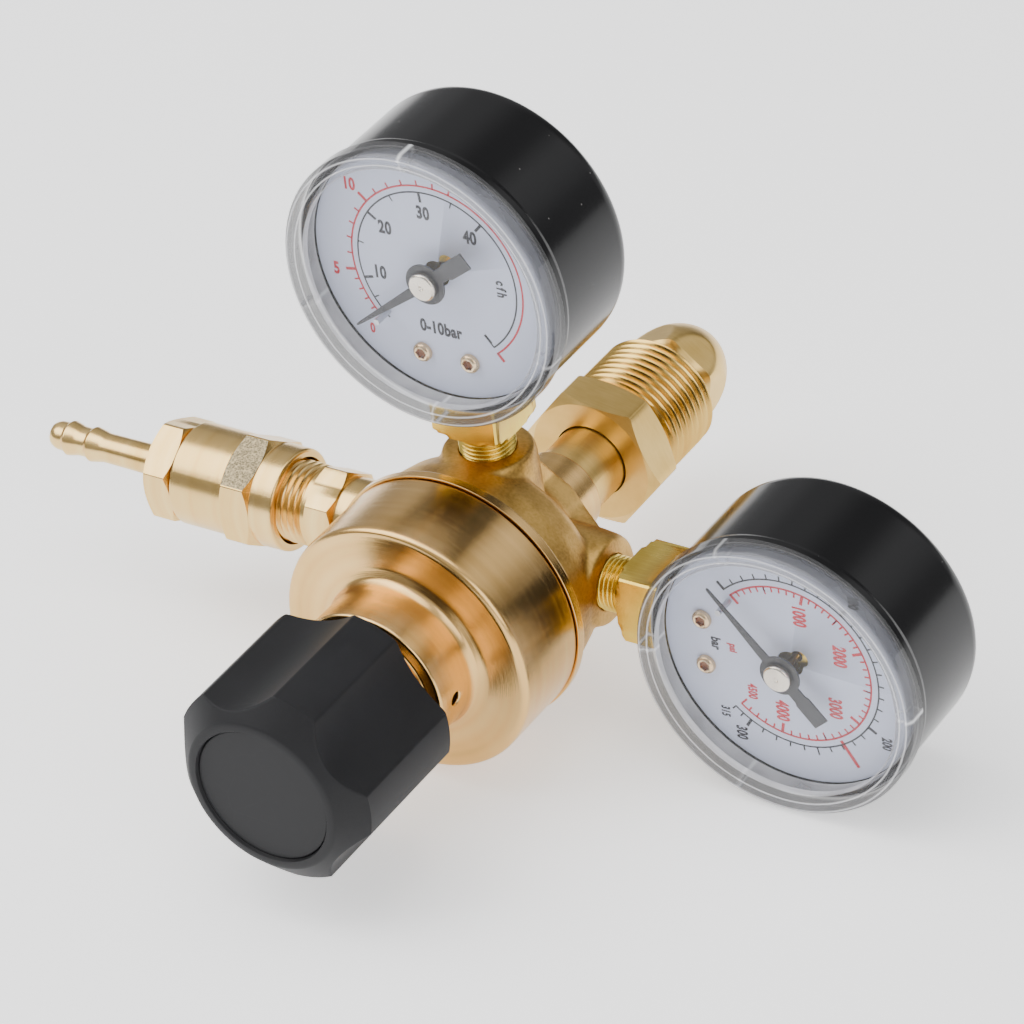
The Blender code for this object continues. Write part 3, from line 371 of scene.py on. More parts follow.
def turned_brass(name, axis, light, dark, roughness=(0.2, 0.34), marks=0.10):
    """Lathe-turned brass: fine rings that run round one axis, both on its sides and its faces."""
    material, sheet, feed = new_material(name, metallic=1.0)
    where = sheet.node("ShaderNodeTexCoord").out("Object")
    offset = sheet.node("ShaderNodeVectorMath", {"operation": "SUBTRACT"},
                        {0: where, 1: tuple(axis.origin * MM)})
    along = sheet.node("ShaderNodeVectorMath", {"operation": "DOT_PRODUCT"},
                       {0: offset, 1: tuple(axis.along)}).out("Value")
    length = sheet.node("ShaderNodeVectorMath", {"operation": "LENGTH"}, {0: offset}).out("Value")
    radius = (length * length - along * along).math("SQRT")
    path = along + radius * 0.83
    rings = sheet.node("ShaderNodeTexNoise", {"noise_dimensions": "1D"},
                       {"W": path * 1400.0, "Scale": 4.0, "Detail": 3.0})
    bands = sheet.node("ShaderNodeTexNoise", {"noise_dimensions": "1D"},
                       {"W": path * 160.0, "Scale": 2.0, "Detail": 2.0})
    smear = sheet.node("ShaderNodeTexNoise", {}, {"Vector": where, "Scale": 60.0, "Detail": 3.0})
    share = (bands * 0.45 + smear * 0.55).math("MULTIPLY_ADD", 2.4, -0.7, clamp=True)
    colour = sheet.node("ShaderNodeMix", {"data_type": "RGBA"},
                        {0: share, 6: (*dark, 1.0), 7: (*light, 1.0)}, out=2)
    feed("Base Color", colour)
    feed("Roughness", rings * (roughness[1] - roughness[0]) + (roughness[0] + smear * 0.05 - 0.02))
    feed("Normal", sheet.node("ShaderNodeBump", {}, {
        "Strength": marks, "Distance": 0.00006, "Height": rings}))
    return material


body_low, body_high = (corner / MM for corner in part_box("body"))
bonnet_low, bonnet_high = (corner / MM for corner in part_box("bonnet"))
main = Axis((0, 0, 0), (1, 0, 0), (0, 0, 1), (0, 1, 0))
flange_face = bonnet_high.y + 0.3
body_end = body_high.y
stem_low, stem_high = (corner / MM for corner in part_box("delivery_gauge_socket"))
barb_low, barb_high = (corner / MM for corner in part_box("hose_barb"))
port_plane = (stem_low.y + stem_high.y) / 2
outlet_plane = (barb_low.y + barb_high.y) / 2
boss_reach = 23.7
drum_radius = 24.2
neck_radius = 22.55
flange_radius = 25.95
inlet_boss_radius = 8.6
rib_half_width = 4.6
delivery_axis = Axis((0, port_plane, 0), (1, 0, 0), (0, 1, 0), (0, 0, 1))
cylinder_axis = Axis((0, port_plane, 0), (0, 0, -1), (0, 1, 0), (1, 0, 0))
outlet_axis = Axis((0, outlet_plane, 0), (0, 1, 0), (0, 0, 1), (-1, 0, 0))

forging_finish = cast_brass()
drum = lathe("forged_body", main, [
    (flange_face + 1.2, 0), (flange_face + 1.2, drum_radius), (flange_face + 7.5, drum_radius - 0.3),
    (flange_face + 12.2, 22.9), (flange_face + 14.2, 21.6), (flange_face + 17.0, 17.0),
    (flange_face + 20.5, 13.6), (flange_face + 24.0, 11.6), (body_end - 7.7, 11.2), (body_end - 7.7, 0),
], None, 72)
lumps = []
for name, port in (("delivery", delivery_axis), ("cylinder", cylinder_axis), ("outlet", outlet_axis)):
    lumps.append(lathe(f"boss_{name}", port, [
        (6.0, 0), (6.0, 9.4), (boss_reach - 5.0, 9.1), (boss_reach - 1.4, 8.8), (boss_reach, 8.3),
        (boss_reach, 0),
    ], None, 56))
    rib_axis = Axis(main.origin, port.along, main.along, port.along.cross(main.along))
    lumps.append(slab(f"rib_{name}", rib_axis, [
        (6.0, port_plane - 2), (boss_reach - 3.0, port_plane), (boss_reach - 3.4, port_plane + 6.0),
        (10.8, body_end - 8.2), (6.0, body_end - 8.2),
    ], -rib_half_width, rib_half_width, None))
merged(drum, lumps)
skin = drum.modifiers.new("skin", "REMESH")
skin.mode = "VOXEL"
skin.voxel_size = 0.45 * MM
soften = drum.modifiers.new("soften", "SMOOTH")
soften.factor = 0.6
soften.iterations = 5
settled(drum)
port_floor = boss_reach - 9.5
port_holes = []
for name, port, bore in (("delivery", delivery_axis, 5.4), ("cylinder", cylinder_axis, 5.4),
                         ("outlet", outlet_axis, 6.4)):
    port_holes.append(lathe(f"{name}_hole", port, [
        (port_floor, 0), (port_floor, bore), (26, bore), (26, 0)], None, 64))
merged(drum, port_holes, "DIFFERENCE")
drum.data.shade_smooth()
drum.data.set_sharp_from_angle(angle=math.radians(50))
drum.data.materials.clear()
drum.data.materials.append(forging_finish)
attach(drum, "regulator")
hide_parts("body")

bonnet_finish = turned_brass("turned_brass_main", main, (0.83, 0.535, 0.215), (0.62, 0.375, 0.12),
                             (0.14, 0.26), 0.32)
flange = lathe("turned_flange", main, eased([
    (flange_face - 6.1, 18.0), (flange_face - 6.1, neck_radius, 0.3), (flange_face, neck_radius),
    (flange_face, flange_radius, 0.18), (flange_face + 1.9, flange_radius, 0.25),
    (flange_face + 2.5, 24.4),
    (flange_face + 2.5, 20.0), (flange_face + 0.2, 20.0), (flange_face + 0.2, 18.0),
]), bonnet_finish)
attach(flange, "regulator")
inlet_boss = lathe("turned_inlet_boss", main, eased([
    (body_end - 9.0, 7.0), (body_end - 9.0, inlet_boss_radius), (body_end, inlet_boss_radius, 0.35),
    (body_end, 5.9),
    (body_end - 4.0, 5.9), (body_end - 4.0, 7.0),
]), bonnet_finish)
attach(inlet_boss, "regulator")


# ---- Bonnet: turned from brass bar, with the spring inside it and a vent hole in its hub.
# It screws over the body's neck. Fine feed marks run round it, and its edges are broken.
bonnet_front = bonnet_high.y - 17.2
hub_front = bonnet_front - 11.7
spindle_front = bonnet_low.y
vent_side = math.radians(-6.0)
vent_radius = 1.3
bonnet_radius = 25.5
bonnet_bore = 22.9
hub_radius = 15.1
spindle_radius = 12.4
spring_bore = 10.3
screw_bore = 5.3
bonnet = lathe("bonnet_shell", main, eased([
    (bonnet_high.y, bonnet_bore), (bonnet_high.y, bonnet_radius, 0.3), (bonnet_front, bonnet_radius, 1.5),
    (bonnet_front - 0.1, 17.4, 0.6), (bonnet_front - 0.9, hub_radius + 0.6, 0.5),
    (bonnet_front - 2.1, hub_radius, 0.6), (hub_front, hub_radius, 0.7), (hub_front, spindle_radius, 0.4),
    (spindle_front, spindle_radius, 0.6), (spindle_front, screw_bore), (spindle_front + 4, screw_bore),
    (spindle_front + 4, spring_bore), (bonnet_front + 3, spring_bore), (bonnet_front + 3, 17.0),
    (bonnet_front + 8.2, 17.0), (bonnet_front + 8.2, bonnet_bore),
], 5), bonnet_finish, 200)
vent_out = Vector((math.cos(vent_side), 0, math.sin(vent_side)))
vent_axis = Axis((0, bonnet_front - 6.8, 0), (0, 1, 0), vent_out.cross(Vector((0, 1, 0))), vent_out)
vent = lathe("vent", vent_axis, [
    (8.8, 0), (8.8, vent_radius), (14.6, vent_radius), (16.6, vent_radius + 0.9), (16.6, 0)], None, 32)
merged(bonnet, [vent], "DIFFERENCE")
bonnet.modifiers.new("even_shading", "WEIGHTED_NORMAL").keep_sharp = True
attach(bonnet, "regulator")
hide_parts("bonnet")


# ---- Knob: moulded black plastic with five lobes, pushed on the adjusting screw's flats.
# A turned blank is cut to the lobes by one rule, then its cap closes the pocket over the screw.
def rule(name, inputs, build):
    """A Geometry Nodes group with named inputs. build gets the sheet and its input wires."""
    tree = bpy.data.node_groups.new(name, "GeometryNodeTree")
    tree.is_modifier = True
    tree.interface.new_socket("Geometry", in_out="INPUT", socket_type="NodeSocketGeometry")
    for label, kind in inputs.items():
        tree.interface.new_socket(label, in_out="INPUT", socket_type=f"NodeSocket{kind}")
    tree.interface.new_socket("Geometry", in_out="OUTPUT", socket_type="NodeSocketGeometry")
    sheet = Sheet(tree)
    given = tree.nodes.new("NodeGroupInput")
    wires = {label: Wire(sheet, given.outputs[label], given) for label in ("Geometry", *inputs)}
    tree.links.new(build(sheet, wires).socket, tree.nodes.new("NodeGroupOutput").inputs["Geometry"])
    return tree


def ruled(piece, group, **values):
    """Run a group on a piece with these inputs, and keep the plain mesh that it makes."""
    modifier = piece.modifiers.new(group.name, "NODES")
    modifier.node_group = group
    for item in group.interface.items_tree:
        if item.in_out == "INPUT" and item.name.replace(" ", "_").lower() in values:
            modifier[item.identifier] = values[item.name.replace(" ", "_").lower()]
    return settled(piece)


def flute_rule(sheet, given):
    """Pull each point in to the lobed outline: a round flute between each two lobes."""
    place = sheet.node("GeometryNodeInputPosition")
    apart = sheet.node("ShaderNodeSeparateXYZ", {}, {0: place})
    across, along, height = apart.out("X"), apart.out("Y"), apart.out("Z")
    radius = (across * across + height * height).math("SQRT")
    sector = math.tau / given["Lobes"]
    turn = height.math("ARCTAN2", across) - given["First Flute"] + sector * 0.5
    offset = turn - (turn / sector).math("FLOOR") * sector - sector * 0.5
    centre = given["Flute Centre"]
    chord = centre * offset.math("SINE")
    inside = given["Flute Radius"] * given["Flute Radius"] - chord * chord
    flute = centre * offset.math("COSINE") - inside.math("MAXIMUM", 0.0).math("SQRT")
    reach = flute.math("MINIMUM", radius + 1.0)
    reach = sheet.node("ShaderNodeMath", {"operation": "SMOOTH_MIN"},
                       {0: reach, 1: radius, 2: given["Edge Softness"]})
    scale = reach / radius.math("MAXIMUM", 1e-6)
    moved = sheet.node("ShaderNodeCombineXYZ", {}, {"X": across * scale, "Y": along, "Z": height * scale})
    shape = sheet.node("GeometryNodeSetPosition", {}, {"Geometry": given["Geometry"], "Position": moved})
    return sheet.node("GeometryNodeSetMaterial", {}, {"Geometry": shape, "Material": given["Material"]})


def moulded_plastic(name, tone, roughness, grain=0.10, dim=0.5):
    """Satin moulded plastic with faint mould grain, flow marks and a few light rubs."""
    material, sheet, feed = new_material(name, **{"Specular IOR Level": dim})
    where = sheet.node("ShaderNodeTexCoord").out("Object")
    cloud = sheet.node("ShaderNodeTexNoise", {}, {"Vector": where, "Scale": 55.0, "Detail": 4.0})
    grains = sheet.node("ShaderNodeTexNoise", {}, {"Vector": where, "Scale": 3200.0, "Detail": 2.0})
    rubs = sheet.node("ShaderNodeTexVoronoi", {"feature": "DISTANCE_TO_EDGE"},
                      {"Vector": where, "Scale": 130.0})
    patches = (cloud - 0.45).math("MULTIPLY", 4.0, clamp=True)
    rubbed = (0.02 - rubs).math("MULTIPLY", 50.0, clamp=True) * patches
    share = cloud * 0.7 + grains * 0.3
    colour = sheet.node("ShaderNodeValToRGB", {"stops": [
        (0.3, tuple(part * 0.8 for part in tone)), (0.62, tuple(part * 1.3 for part in tone)),
    ]}, {0: share})
    feed("Base Color", colour)
    feed("Roughness", roughness + cloud * 0.14 + grains * 0.08 - rubbed * 0.05)
    feed("Normal", sheet.node("ShaderNodeBump", {}, {
        "Strength": grain, "Distance": 0.00004, "Height": grains + rubbed * 0.4}))
    return material


knob_low, knob_high = (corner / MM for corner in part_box("knob"))
cap_low, cap_high = (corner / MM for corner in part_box("knob_cap"))
knob_front, knob_back = knob_low.y, knob_high.y
knob_radius = 20.0
knob_chamfer = 4.4
knob_pocket = (cap_high.x - cap_low.x) / 2 + 0.3
knob_rim = 15.0
knob_bore = hub_radius + 0.3
knob_floor = knob_front + 10.4  # clears the bonnet's spindle neck when the knob is screwed right in
black_satin = moulded_plastic("black_satin_plastic", (0.0095, 0.0095, 0.0105), 0.40, dim=0.22)
chamfer_steps = 22
chamfer = [(knob_front + knob_chamfer * step / chamfer_steps,
            knob_rim + (knob_radius - knob_rim) * step / chamfer_steps) for step in range(1, chamfer_steps)]
sides = [(knob_front + knob_chamfer + 21.0 * step / 8, knob_radius) for step in range(1, 9)]
knob = lathe("knob_shell", main, [
    (knob_front, knob_pocket + 0.15), (knob_front, knob_rim - 0.7), (knob_front + 0.12, knob_rim - 0.2),
    *chamfer, (knob_front + knob_chamfer, knob_radius), *sides, (knob_back - 0.5, knob_radius),
    (knob_back - 0.12, knob_radius - 0.12), (knob_back, knob_radius - 0.5), (knob_back, knob_bore + 0.3),
    (knob_back - 0.3, knob_bore), (knob_floor, knob_bore), (knob_floor, 6.2),
    (knob_front + 5.2, 6.2), (knob_front + 5.2, 5.2), (knob_front + 2.4, 5.2),
    (knob_front + 2.4, knob_pocket), (knob_front + 0.2, knob_pocket),
], None, 480)
half_flute = math.radians(23.5)
flute_floor = 16.9
run = knob_radius * math.cos(half_flute) - flute_floor
flute_radius = (run ** 2 + (knob_radius * math.sin(half_flute)) ** 2) / (2 * run)
flutes = rule("knob_flutes", {
    "Lobes": "Float", "First Flute": "Float", "Flute Radius": "Float", "Flute Centre": "Float",
    "Edge Softness": "Float", "Material": "Material",
}, flute_rule)
ruled(knob, flutes, lobes=5.0, first_flute=math.radians(33.5), flute_radius=flute_radius * MM,
      flute_centre=(flute_floor + flute_radius) * MM, edge_softness=0.00022, material=black_satin)
knob.data.set_sharp_from_angle(angle=math.radians(24))
knob.modifiers.new("even_shading", "WEIGHTED_NORMAL").keep_sharp = True
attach(knob, "knob")
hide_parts("knob")

cap_radius = knob_pocket - 0.12
knob_cap = lathe("knob_cap_disc", main, eased([
    (cap_low.y, 0), (cap_low.y, cap_radius, 0.35), (cap_high.y, cap_radius), (cap_high.y, 0),
]), black_satin, 128)
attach(knob_cap, "knob")
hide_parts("knob_cap")


# ---- Inlet nut: hexagon brass bar, turned and screw-cut, free to spin on the nipple.
# Its corners are chamfered at both ends; the flats keep the marks of the cutter.
def hexagon(across, turn, cone_start, cone_end, start, stop, worn=0.988):
    """Stations and angles of a hexagon whose corners are turned off to a cone at each end."""
    flat = across / 2
    corner = flat / math.cos(math.pi / 6) * worn
    half = math.acos(flat / corner)
    offsets = [-half + 2 * half * step / 14 for step in range(15)] + [math.pi / 6]
    angles = [turn + math.pi / 3 * side + math.pi / 6 + offset for side in range(6) for offset in offsets]

    def full(angle):
        offset = (angle - turn) % (math.pi / 3) - math.pi / 6
        return min(flat / math.cos(offset), corner)

    def end(angle, limit, place, sign, inner):
        reach = min(full(angle), limit)
        if inner:
            return place, reach
        return place + sign * (full(angle) - reach) * math.tan(math.pi / 6), full(angle)

    way = 1 if stop > start else -1
    stations = [
        lambda angle: end(angle, cone_start, start, way, True),
        lambda angle: end(angle, cone_start, start, way, False),
        lambda angle: end(angle, cone_end, stop, -way, False),
        lambda angle: end(angle, cone_end, stop, -way, True),
    ]
    return stations, angles, full


def thread_rule(sheet, given):
    """One ridge wound round the axis, chamfered at both ends, as a sleeve over a turned core."""
    grid = sheet.node("GeometryNodeMeshGrid", {}, {
        "Size X": 1.0, "Size Y": 1.0, "Vertices X": given["Steps"] + 1.0, "Vertices Y": 9})
    place = sheet.node("ShaderNodeSeparateXYZ", {}, {0: sheet.node("GeometryNodeInputPosition")})
    turns = (place.out("X") + 0.5) * given["Steps"] / given["Steps Per Turn"]
    share = place.out("Y") + 0.5
    along = (turns + share - 1.0) * given["Pitch"]
    along = along.math("MAXIMUM", 0.0).math("MINIMUM", given["Length"])
    ridge = (1.0 - (share * 2.0 - 1.0).math("ABSOLUTE")).math("MULTIPLY_ADD", 1.25, -0.06, clamp=True)
    ends = along.math("MINIMUM", given["Length"] - along) * 1.3
    rise = (given["Depth"] * ridge).math("MINIMUM", ends)
    radius = given["Radius"] - given["Depth"] + rise
    angle = turns * math.tau * given["Hand"]
    moved = sheet.node("ShaderNodeCombineXYZ", {}, {
        "X": radius * angle.math("COSINE"), "Y": radius * angle.math("SINE"), "Z": along})
    shape = sheet.node("GeometryNodeSetPosition", {}, {"Geometry": grid.out("Mesh"), "Position": moved})
    shape = sheet.node("GeometryNodeMergeByDistance", {}, {"Geometry": shape, "Distance": 0.002})
    shape = sheet.node("GeometryNodeRealizeInstances", {}, {"Geometry": shape})
    return sheet.node("GeometryNodeSetMaterial", {}, {"Geometry": shape, "Material": given["Material"]})


screw_thread = rule("screw_thread", {
    "Radius": "Float", "Depth": "Float", "Pitch": "Float", "Length": "Float", "Hand": "Float",
    "Steps": "Int", "Steps Per Turn": "Float", "Material": "Material",
}, thread_rule)


def thread(name, axis, start, length, radius, depth, pitch, material):
    """A right-hand thread of this length along an axis."""
    per_turn = 84
    sleeve = bpy.data.objects.new(name, bpy.data.meshes.new(name))
    scene.collection.objects.link(sleeve)
    hand = 1.0 if axis.right.cross(axis.up).dot(axis.along) > 0 else -1.0
    ruled(sleeve, screw_thread, radius=radius, depth=depth, pitch=pitch, length=length, hand=hand,
          steps=math.ceil((length / pitch + 1) * per_turn), steps_per_turn=float(per_turn),
          material=material)
    turn = Matrix((axis.right, axis.up, axis.along)).transposed().to_4x4()
    sleeve.data.transform(Matrix.Translation(axis.at(0, 0, start)) @ turn @ Matrix.Scale(MM, 4))
    if sleeve_faces_in(sleeve.data, axis):
        sleeve.data.flip_normals()
    sleeve.data.shade_smooth()
    sleeve.data.set_sharp_from_angle(angle=math.radians(28))
    return sleeve


def sleeve_faces_in(mesh, axis):
    outward = 0.0
    for face in mesh.polygons:
        arm = face.center - axis.origin * MM
        arm -= axis.along * arm.dot(axis.along)
        outward += arm.dot(face.normal) * face.area
    return outward < 0


def milled_brass(name, light, dark, roughness=0.28, grain=0.06):
    """Bright machined brass: short cutter marks, faint stains and small scratches."""
    material, sheet, feed = new_material(name, metallic=1.0)
    where = sheet.node("ShaderNodeTexCoord").out("Object")
    cloud = sheet.node("ShaderNodeTexNoise", {}, {"Vector": where, "Scale": 130.0, "Detail": 5.0})
    stretched = sheet.node("ShaderNodeMapping", {}, {"Vector": where, "Scale": (260.0, 2600.0, 260.0)})
    cuts = sheet.node("ShaderNodeTexNoise", {}, {"Vector": stretched, "Scale": 1.0, "Detail": 3.0})
    pits = sheet.node("ShaderNodeTexNoise", {}, {"Vector": where, "Scale": 2300.0, "Detail": 2.0})
    share = (cloud * 0.7 + cuts * 0.3).math("MULTIPLY_ADD", 2.6, -0.8, clamp=True)
    colour = sheet.node("ShaderNodeMix", {"data_type": "RGBA"},
                        {0: share, 6: (*dark, 1.0), 7: (*light, 1.0)}, out=2)
    feed("Base Color", colour)
    feed("Roughness", roughness + cuts * 0.10 + cloud * 0.10 - 0.07)
    feed("Normal", sheet.node("ShaderNodeBump", {}, {
        "Strength": grain, "Distance": 0.00008, "Height": cuts * 0.6 + pits * 0.4}))
    return material


nut_low, nut_high = (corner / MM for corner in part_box("inlet_nut"))
nut_across = 25.4
nut_thread_radius = 12.25
nut_turn = math.radians(51.4)
nut_bore = 7.6
nut_hollow = 10.3
nut_finish = milled_brass("milled_brass", (0.84, 0.585, 0.205), (0.66, 0.425, 0.115))
hex_stations, hex_angles, _ = hexagon(nut_across, nut_turn, 12.45, 11.9, nut_low.y, 0.0)
nut = lathe("inlet_nut_hexagon", main, [
    (nut_low.y + 0.25, nut_bore), *hex_stations, (0.0, 11.25), (0.9, 11.0), (nut_high.y - 0.35, 11.0),
    (nut_high.y, 10.85), (nut_high.y, nut_hollow), (8.0, nut_hollow), (8.0, nut_bore),
], nut_finish, hex_angles)
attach(nut, "inlet_nut")
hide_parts("inlet_nut")
nut_thread = thread("inlet_nut_thread", main, 0.75, nut_high.y - 0.8, nut_thread_radius, 1.12, 1.814,
                    turned_brass("thread_brass", main, (0.86, 0.585, 0.18), (0.66, 0.39, 0.09), (0.14, 0.26)))
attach(nut_thread, "inlet_nut")


# ---- Inlet nipple: turned brass with a bullet nose that seats in the cylinder valve.
# Six flats milled on its nose take the spanner that screws it into the body.
nipple_low, nipple_high = (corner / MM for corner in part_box("inlet_nipple"))
nose_turn = math.radians(20.9)
nose_start = nut_high.y + 3.3
nose_length = 14.1
nose_radius = 10.2
_, nose_angles, nose_flats = hexagon(18.2, nose_turn, 99.0, 99.0, 0.0, 1.0, 0.995)


def nose_station(share):
    """Somewhere on the bullet, or on a flat where that lies deeper."""
    angle_in = math.acos(2.6 / nose_radius) * share
    along = nose_start + nose_length * math.sin(angle_in)
    reach = nose_radius * math.cos(angle_in)
    return lambda angle: (along, min(reach, nose_flats(angle)))


nipple = lathe("inlet_nipple_nose", main, [
    (nipple_low.y, 3.9), (nipple_low.y, 5.6), (body_end + 0.3, 5.6), (body_end + 0.3, 7.0),
    (body_end + 0.7, 7.3), (8.3, 7.3), (8.3, 10.0), (nut_high.y, 10.0), (nut_high.y + 1.2, 8.6),
    (nose_start - 0.9, 8.6), *(nose_station(step / 48) for step in range(49)),
    (nipple_high.y - 0.2, 1.9), (nipple_low.y + 5, 1.9), (nipple_low.y + 5, 3.9),
], nut_finish, nose_angles, sharp=26.0)
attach(nipple, "regulator")
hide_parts("inlet_nipple")


# ---- Outlet: a nipple screwed into the body, a coupling screwed on it and a hose barb.
# All turned from brass bar; one flat of the coupling still shows the bar's raw drawn surface.
def drawn_bar():
    """The skin of hexagon bar as it was drawn: dull, dark and grainy."""
    material, sheet, feed = new_material("drawn_bar", metallic=1.0)
    where = sheet.node("ShaderNodeTexCoord").out("Object")
    cells = sheet.node("ShaderNodeTexVoronoi", {}, {"Vector": where, "Scale": 2600.0})
    grain = sheet.node("ShaderNodeTexNoise", {}, {"Vector": where, "Scale": 2400.0, "Detail": 3.0})
    feed("Base Color", sheet.node("ShaderNodeValToRGB", {"stops": [
        (0.25, (0.12, 0.10, 0.055)), (0.5, (0.34, 0.28, 0.17)), (0.75, (0.62, 0.50, 0.30)),
    ]}, {0: grain * 0.6 + cells * 0.5}))
    feed("Roughness", 0.42 + grain * 0.3)
    feed("Normal", sheet.node("ShaderNodeBump", {}, {
        "Strength": 0.8, "Distance": 0.00012, "Height": grain + cells}))
    return material


def outlet_piece(name, profile, finish, replaced, angles=120):
    piece = lathe(name, outlet_axis, profile, finish, angles)
    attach(piece, "regulator")
    if replaced:
        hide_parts(replaced)
    return piece


outlet_brass = turned_brass("turned_brass_outlet", outlet_axis, (0.88, 0.62, 0.26), (0.70, 0.455, 0.15),
                            (0.15, 0.28), 0.22)
stub_start = boss_reach + 0.3
nipple_hex_start = stub_start + 8.1
nipple_hex_end = nipple_hex_start + 6.0
nipple_end = nipple_hex_end + 12.8
stub_radius = 7.4
nipple_bore = 3.2
nipple_hex, nipple_angles, _ = hexagon(15.7, math.radians(25.0), 8.0, 7.9, nipple_hex_start, nipple_hex_end)
outlet_piece("outlet_nipple_body", [
    (14.7, nipple_bore), (14.7, 6.0), (stub_start, 6.0), (stub_start, 7.2), (stub_start + 0.3, stub_radius),
    (nipple_hex_start, stub_radius), *nipple_hex, (nipple_hex_end, 7.5), (nipple_hex_end + 1.0, 7.6),
    (nipple_hex_end + 1.2, 7.0), (nipple_end - 0.3, 7.0), (nipple_end, 6.8), (nipple_end, nipple_bore),
], outlet_brass, "outlet_nipple", nipple_angles)
outlet_thread = thread("outlet_nipple_thread", outlet_axis, nipple_hex_end + 0.8, 11.9, 7.94, 0.86, 1.411,
                       outlet_brass)
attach(outlet_thread, "regulator")

coupling_turn = math.radians(26.0)
coupling_start = 43.9
coupling_hex_start = coupling_start + 5.3
coupling_hex_end = coupling_hex_start + 6.5
coupling_end = coupling_hex_end + 11.9
coupling_radius = 10.05
coupling_bore = 8.25
spigot_bore = 6.8
coupling_hex, coupling_angles, _ = hexagon(20.2, coupling_turn, 10.15, 10.1, coupling_hex_start,
                                           coupling_hex_end)
collar = eased([
    (coupling_start, 8.5), (coupling_start, 9.5, 0.3), (coupling_start + 0.35, 10.0, 0.4),
    (coupling_start + 3.1, coupling_radius), (coupling_hex_start - 0.1, coupling_radius),
], 5)
coupling = outlet_piece("outlet_coupling_body", [
    (coupling_start + 1.3, coupling_bore), *collar, *coupling_hex, (coupling_hex_end + 0.2, 10.0),
    (coupling_end - 0.6, 10.0), (coupling_end - 0.2, 9.8), (coupling_end, 9.4), (coupling_end, spigot_bore),
    (57.0, spigot_bore), (57.0, 3.3), (52.5, 3.3), (52.5, coupling_bore),
], outlet_brass, "outlet_coupling", coupling_angles)
coupling.data.materials.append(drawn_bar())
raw_side = coupling_turn + math.pi / 2
for polygon in coupling.data.polygons:
    arm = polygon.center / MM - outlet_axis.origin
    facing = math.cos(raw_side) * polygon.normal.y + math.sin(raw_side) * polygon.normal.z
    if facing > 0.995 and coupling_hex_start - 0.2 < -arm.x < coupling_hex_end + 0.3:
        polygon.material_index = 1

barb_hex_start = coupling_end + 0.3
barb_hex_end = barb_hex_start + 6.1
barb_tip = -barb_low.x
barb_radius = 2.9
rib_radius = 3.5
barb_bore = 1.6
spigot_radius = 6.3
barb_hex, barb_angles, _ = hexagon(18.2, math.radians(36.0), 9.3, 8.9, barb_hex_start, barb_hex_end)
ribs = []
for rib, slope in ((barb_hex_end + 18.0, 3.0), (barb_hex_end + 23.4, 2.4)):
    ribs += [(rib - slope, barb_radius, 0.5 if slope > 2.4 else 0.6), (rib, rib_radius, 0.25),
             (rib + 0.6, barb_radius, 0.3)]
barb = eased([
    (barb_hex_end, 8.2, 1.2), (barb_hex_end + 0.8, 4.3, 0.8), (barb_hex_end + 1.6, 3.4, 0.5),
    (barb_hex_end + 3.4, 3.0, 1.0), *ribs, (barb_tip - 1.2, 2.85, 0.9), (barb_tip, 2.3, 0.3),
    (barb_tip, barb_bore),
], 6)
outlet_piece("hose_barb_body", [
    (57.3, barb_bore), (57.3, spigot_radius), (barb_hex_start, spigot_radius), (barb_hex_start, 8.8),
    *barb_hex, *barb,
], outlet_brass, "hose_barb", barb_angles)


# ---- Gauge sockets: forged brass, square across the flats, with a cut pipe thread below.
# Each screws into the body and carries the whole gauge; its block is hidden in the case.
socket_brass = milled_brass("milled_yellow_brass", (0.88, 0.655, 0.145), (0.66, 0.43, 0.06), 0.22, 0.2)
stem_across = 14.0
stem_start = 28.05


def square(across, turn):
    """The angles round a square, and its radius at each of them, with its corners just broken."""
    flat = across / 2
    corner = flat * math.sqrt(2) * 0.975
    half = math.acos(flat / corner)
    offsets = [-half + 2 * half * step / 18 for step in range(19)] + [math.pi / 4]
    angles = [turn + math.pi / 2 * side + offset for side in range(4) for offset in offsets]

    def full(angle):
        offset = (angle - turn + math.pi / 4) % (math.pi / 2) - math.pi / 4
        return min(flat / math.cos(offset), corner)

    return full, angles


gauges = {
    "delivery": (Axis((0, port_plane, 65.5), (1, 0, 0), (0, 0, 1), (0, 1, 0)), delivery_axis),
    "cylinder": (Axis((65.5, port_plane, 0), (0, 0, -1), (1, 0, 0), (0, 1, 0)), cylinder_axis),
}
for name, (face, stem) in gauges.items():
    low_corner, high_corner = (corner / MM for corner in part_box(f"{name}_gauge_socket"))
    block_top = max(high_corner.x, high_corner.z)
    outline, square_angles = square(stem_across, 0.0)
    cone = [lambda angle, reach=reach, rise=rise: (stem_start + rise, min(outline(angle), reach))
            for reach, rise in ((6.4, 0.2), (7.7, 0.7), (9.0, 1.3), (9.9, 1.9))]
    socket = lathe(f"{name}_gauge_stem", stem, [
        (15.7, 1.6), (15.7, 4.5), (23.0, 4.62), (stem_start, 4.62), (stem_start, 5.7), *cone,
        lambda angle: (block_top - 8.0, outline(angle)), (block_top - 8.0, 1.6),
    ], socket_brass, square_angles)
    block_frame = Axis(stem.origin, face.right, stem.along, face.along)
    block = slab(f"{name}_block", block_frame, [
        (-9.0, block_top - 8.3), (9.0, block_top - 8.3), (9.0, block_top), (-9.0, block_top),
    ], -6.4, 6.4, socket_brass)
    merged(socket, [block])
    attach(socket, "regulator")
    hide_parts(f"{name}_gauge_socket")
    ridge = thread(f"{name}_gauge_thread", stem, 22.9, stem_start - 22.8, 5.3, 0.56, 0.907, socket_brass)
    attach(ridge, "regulator")


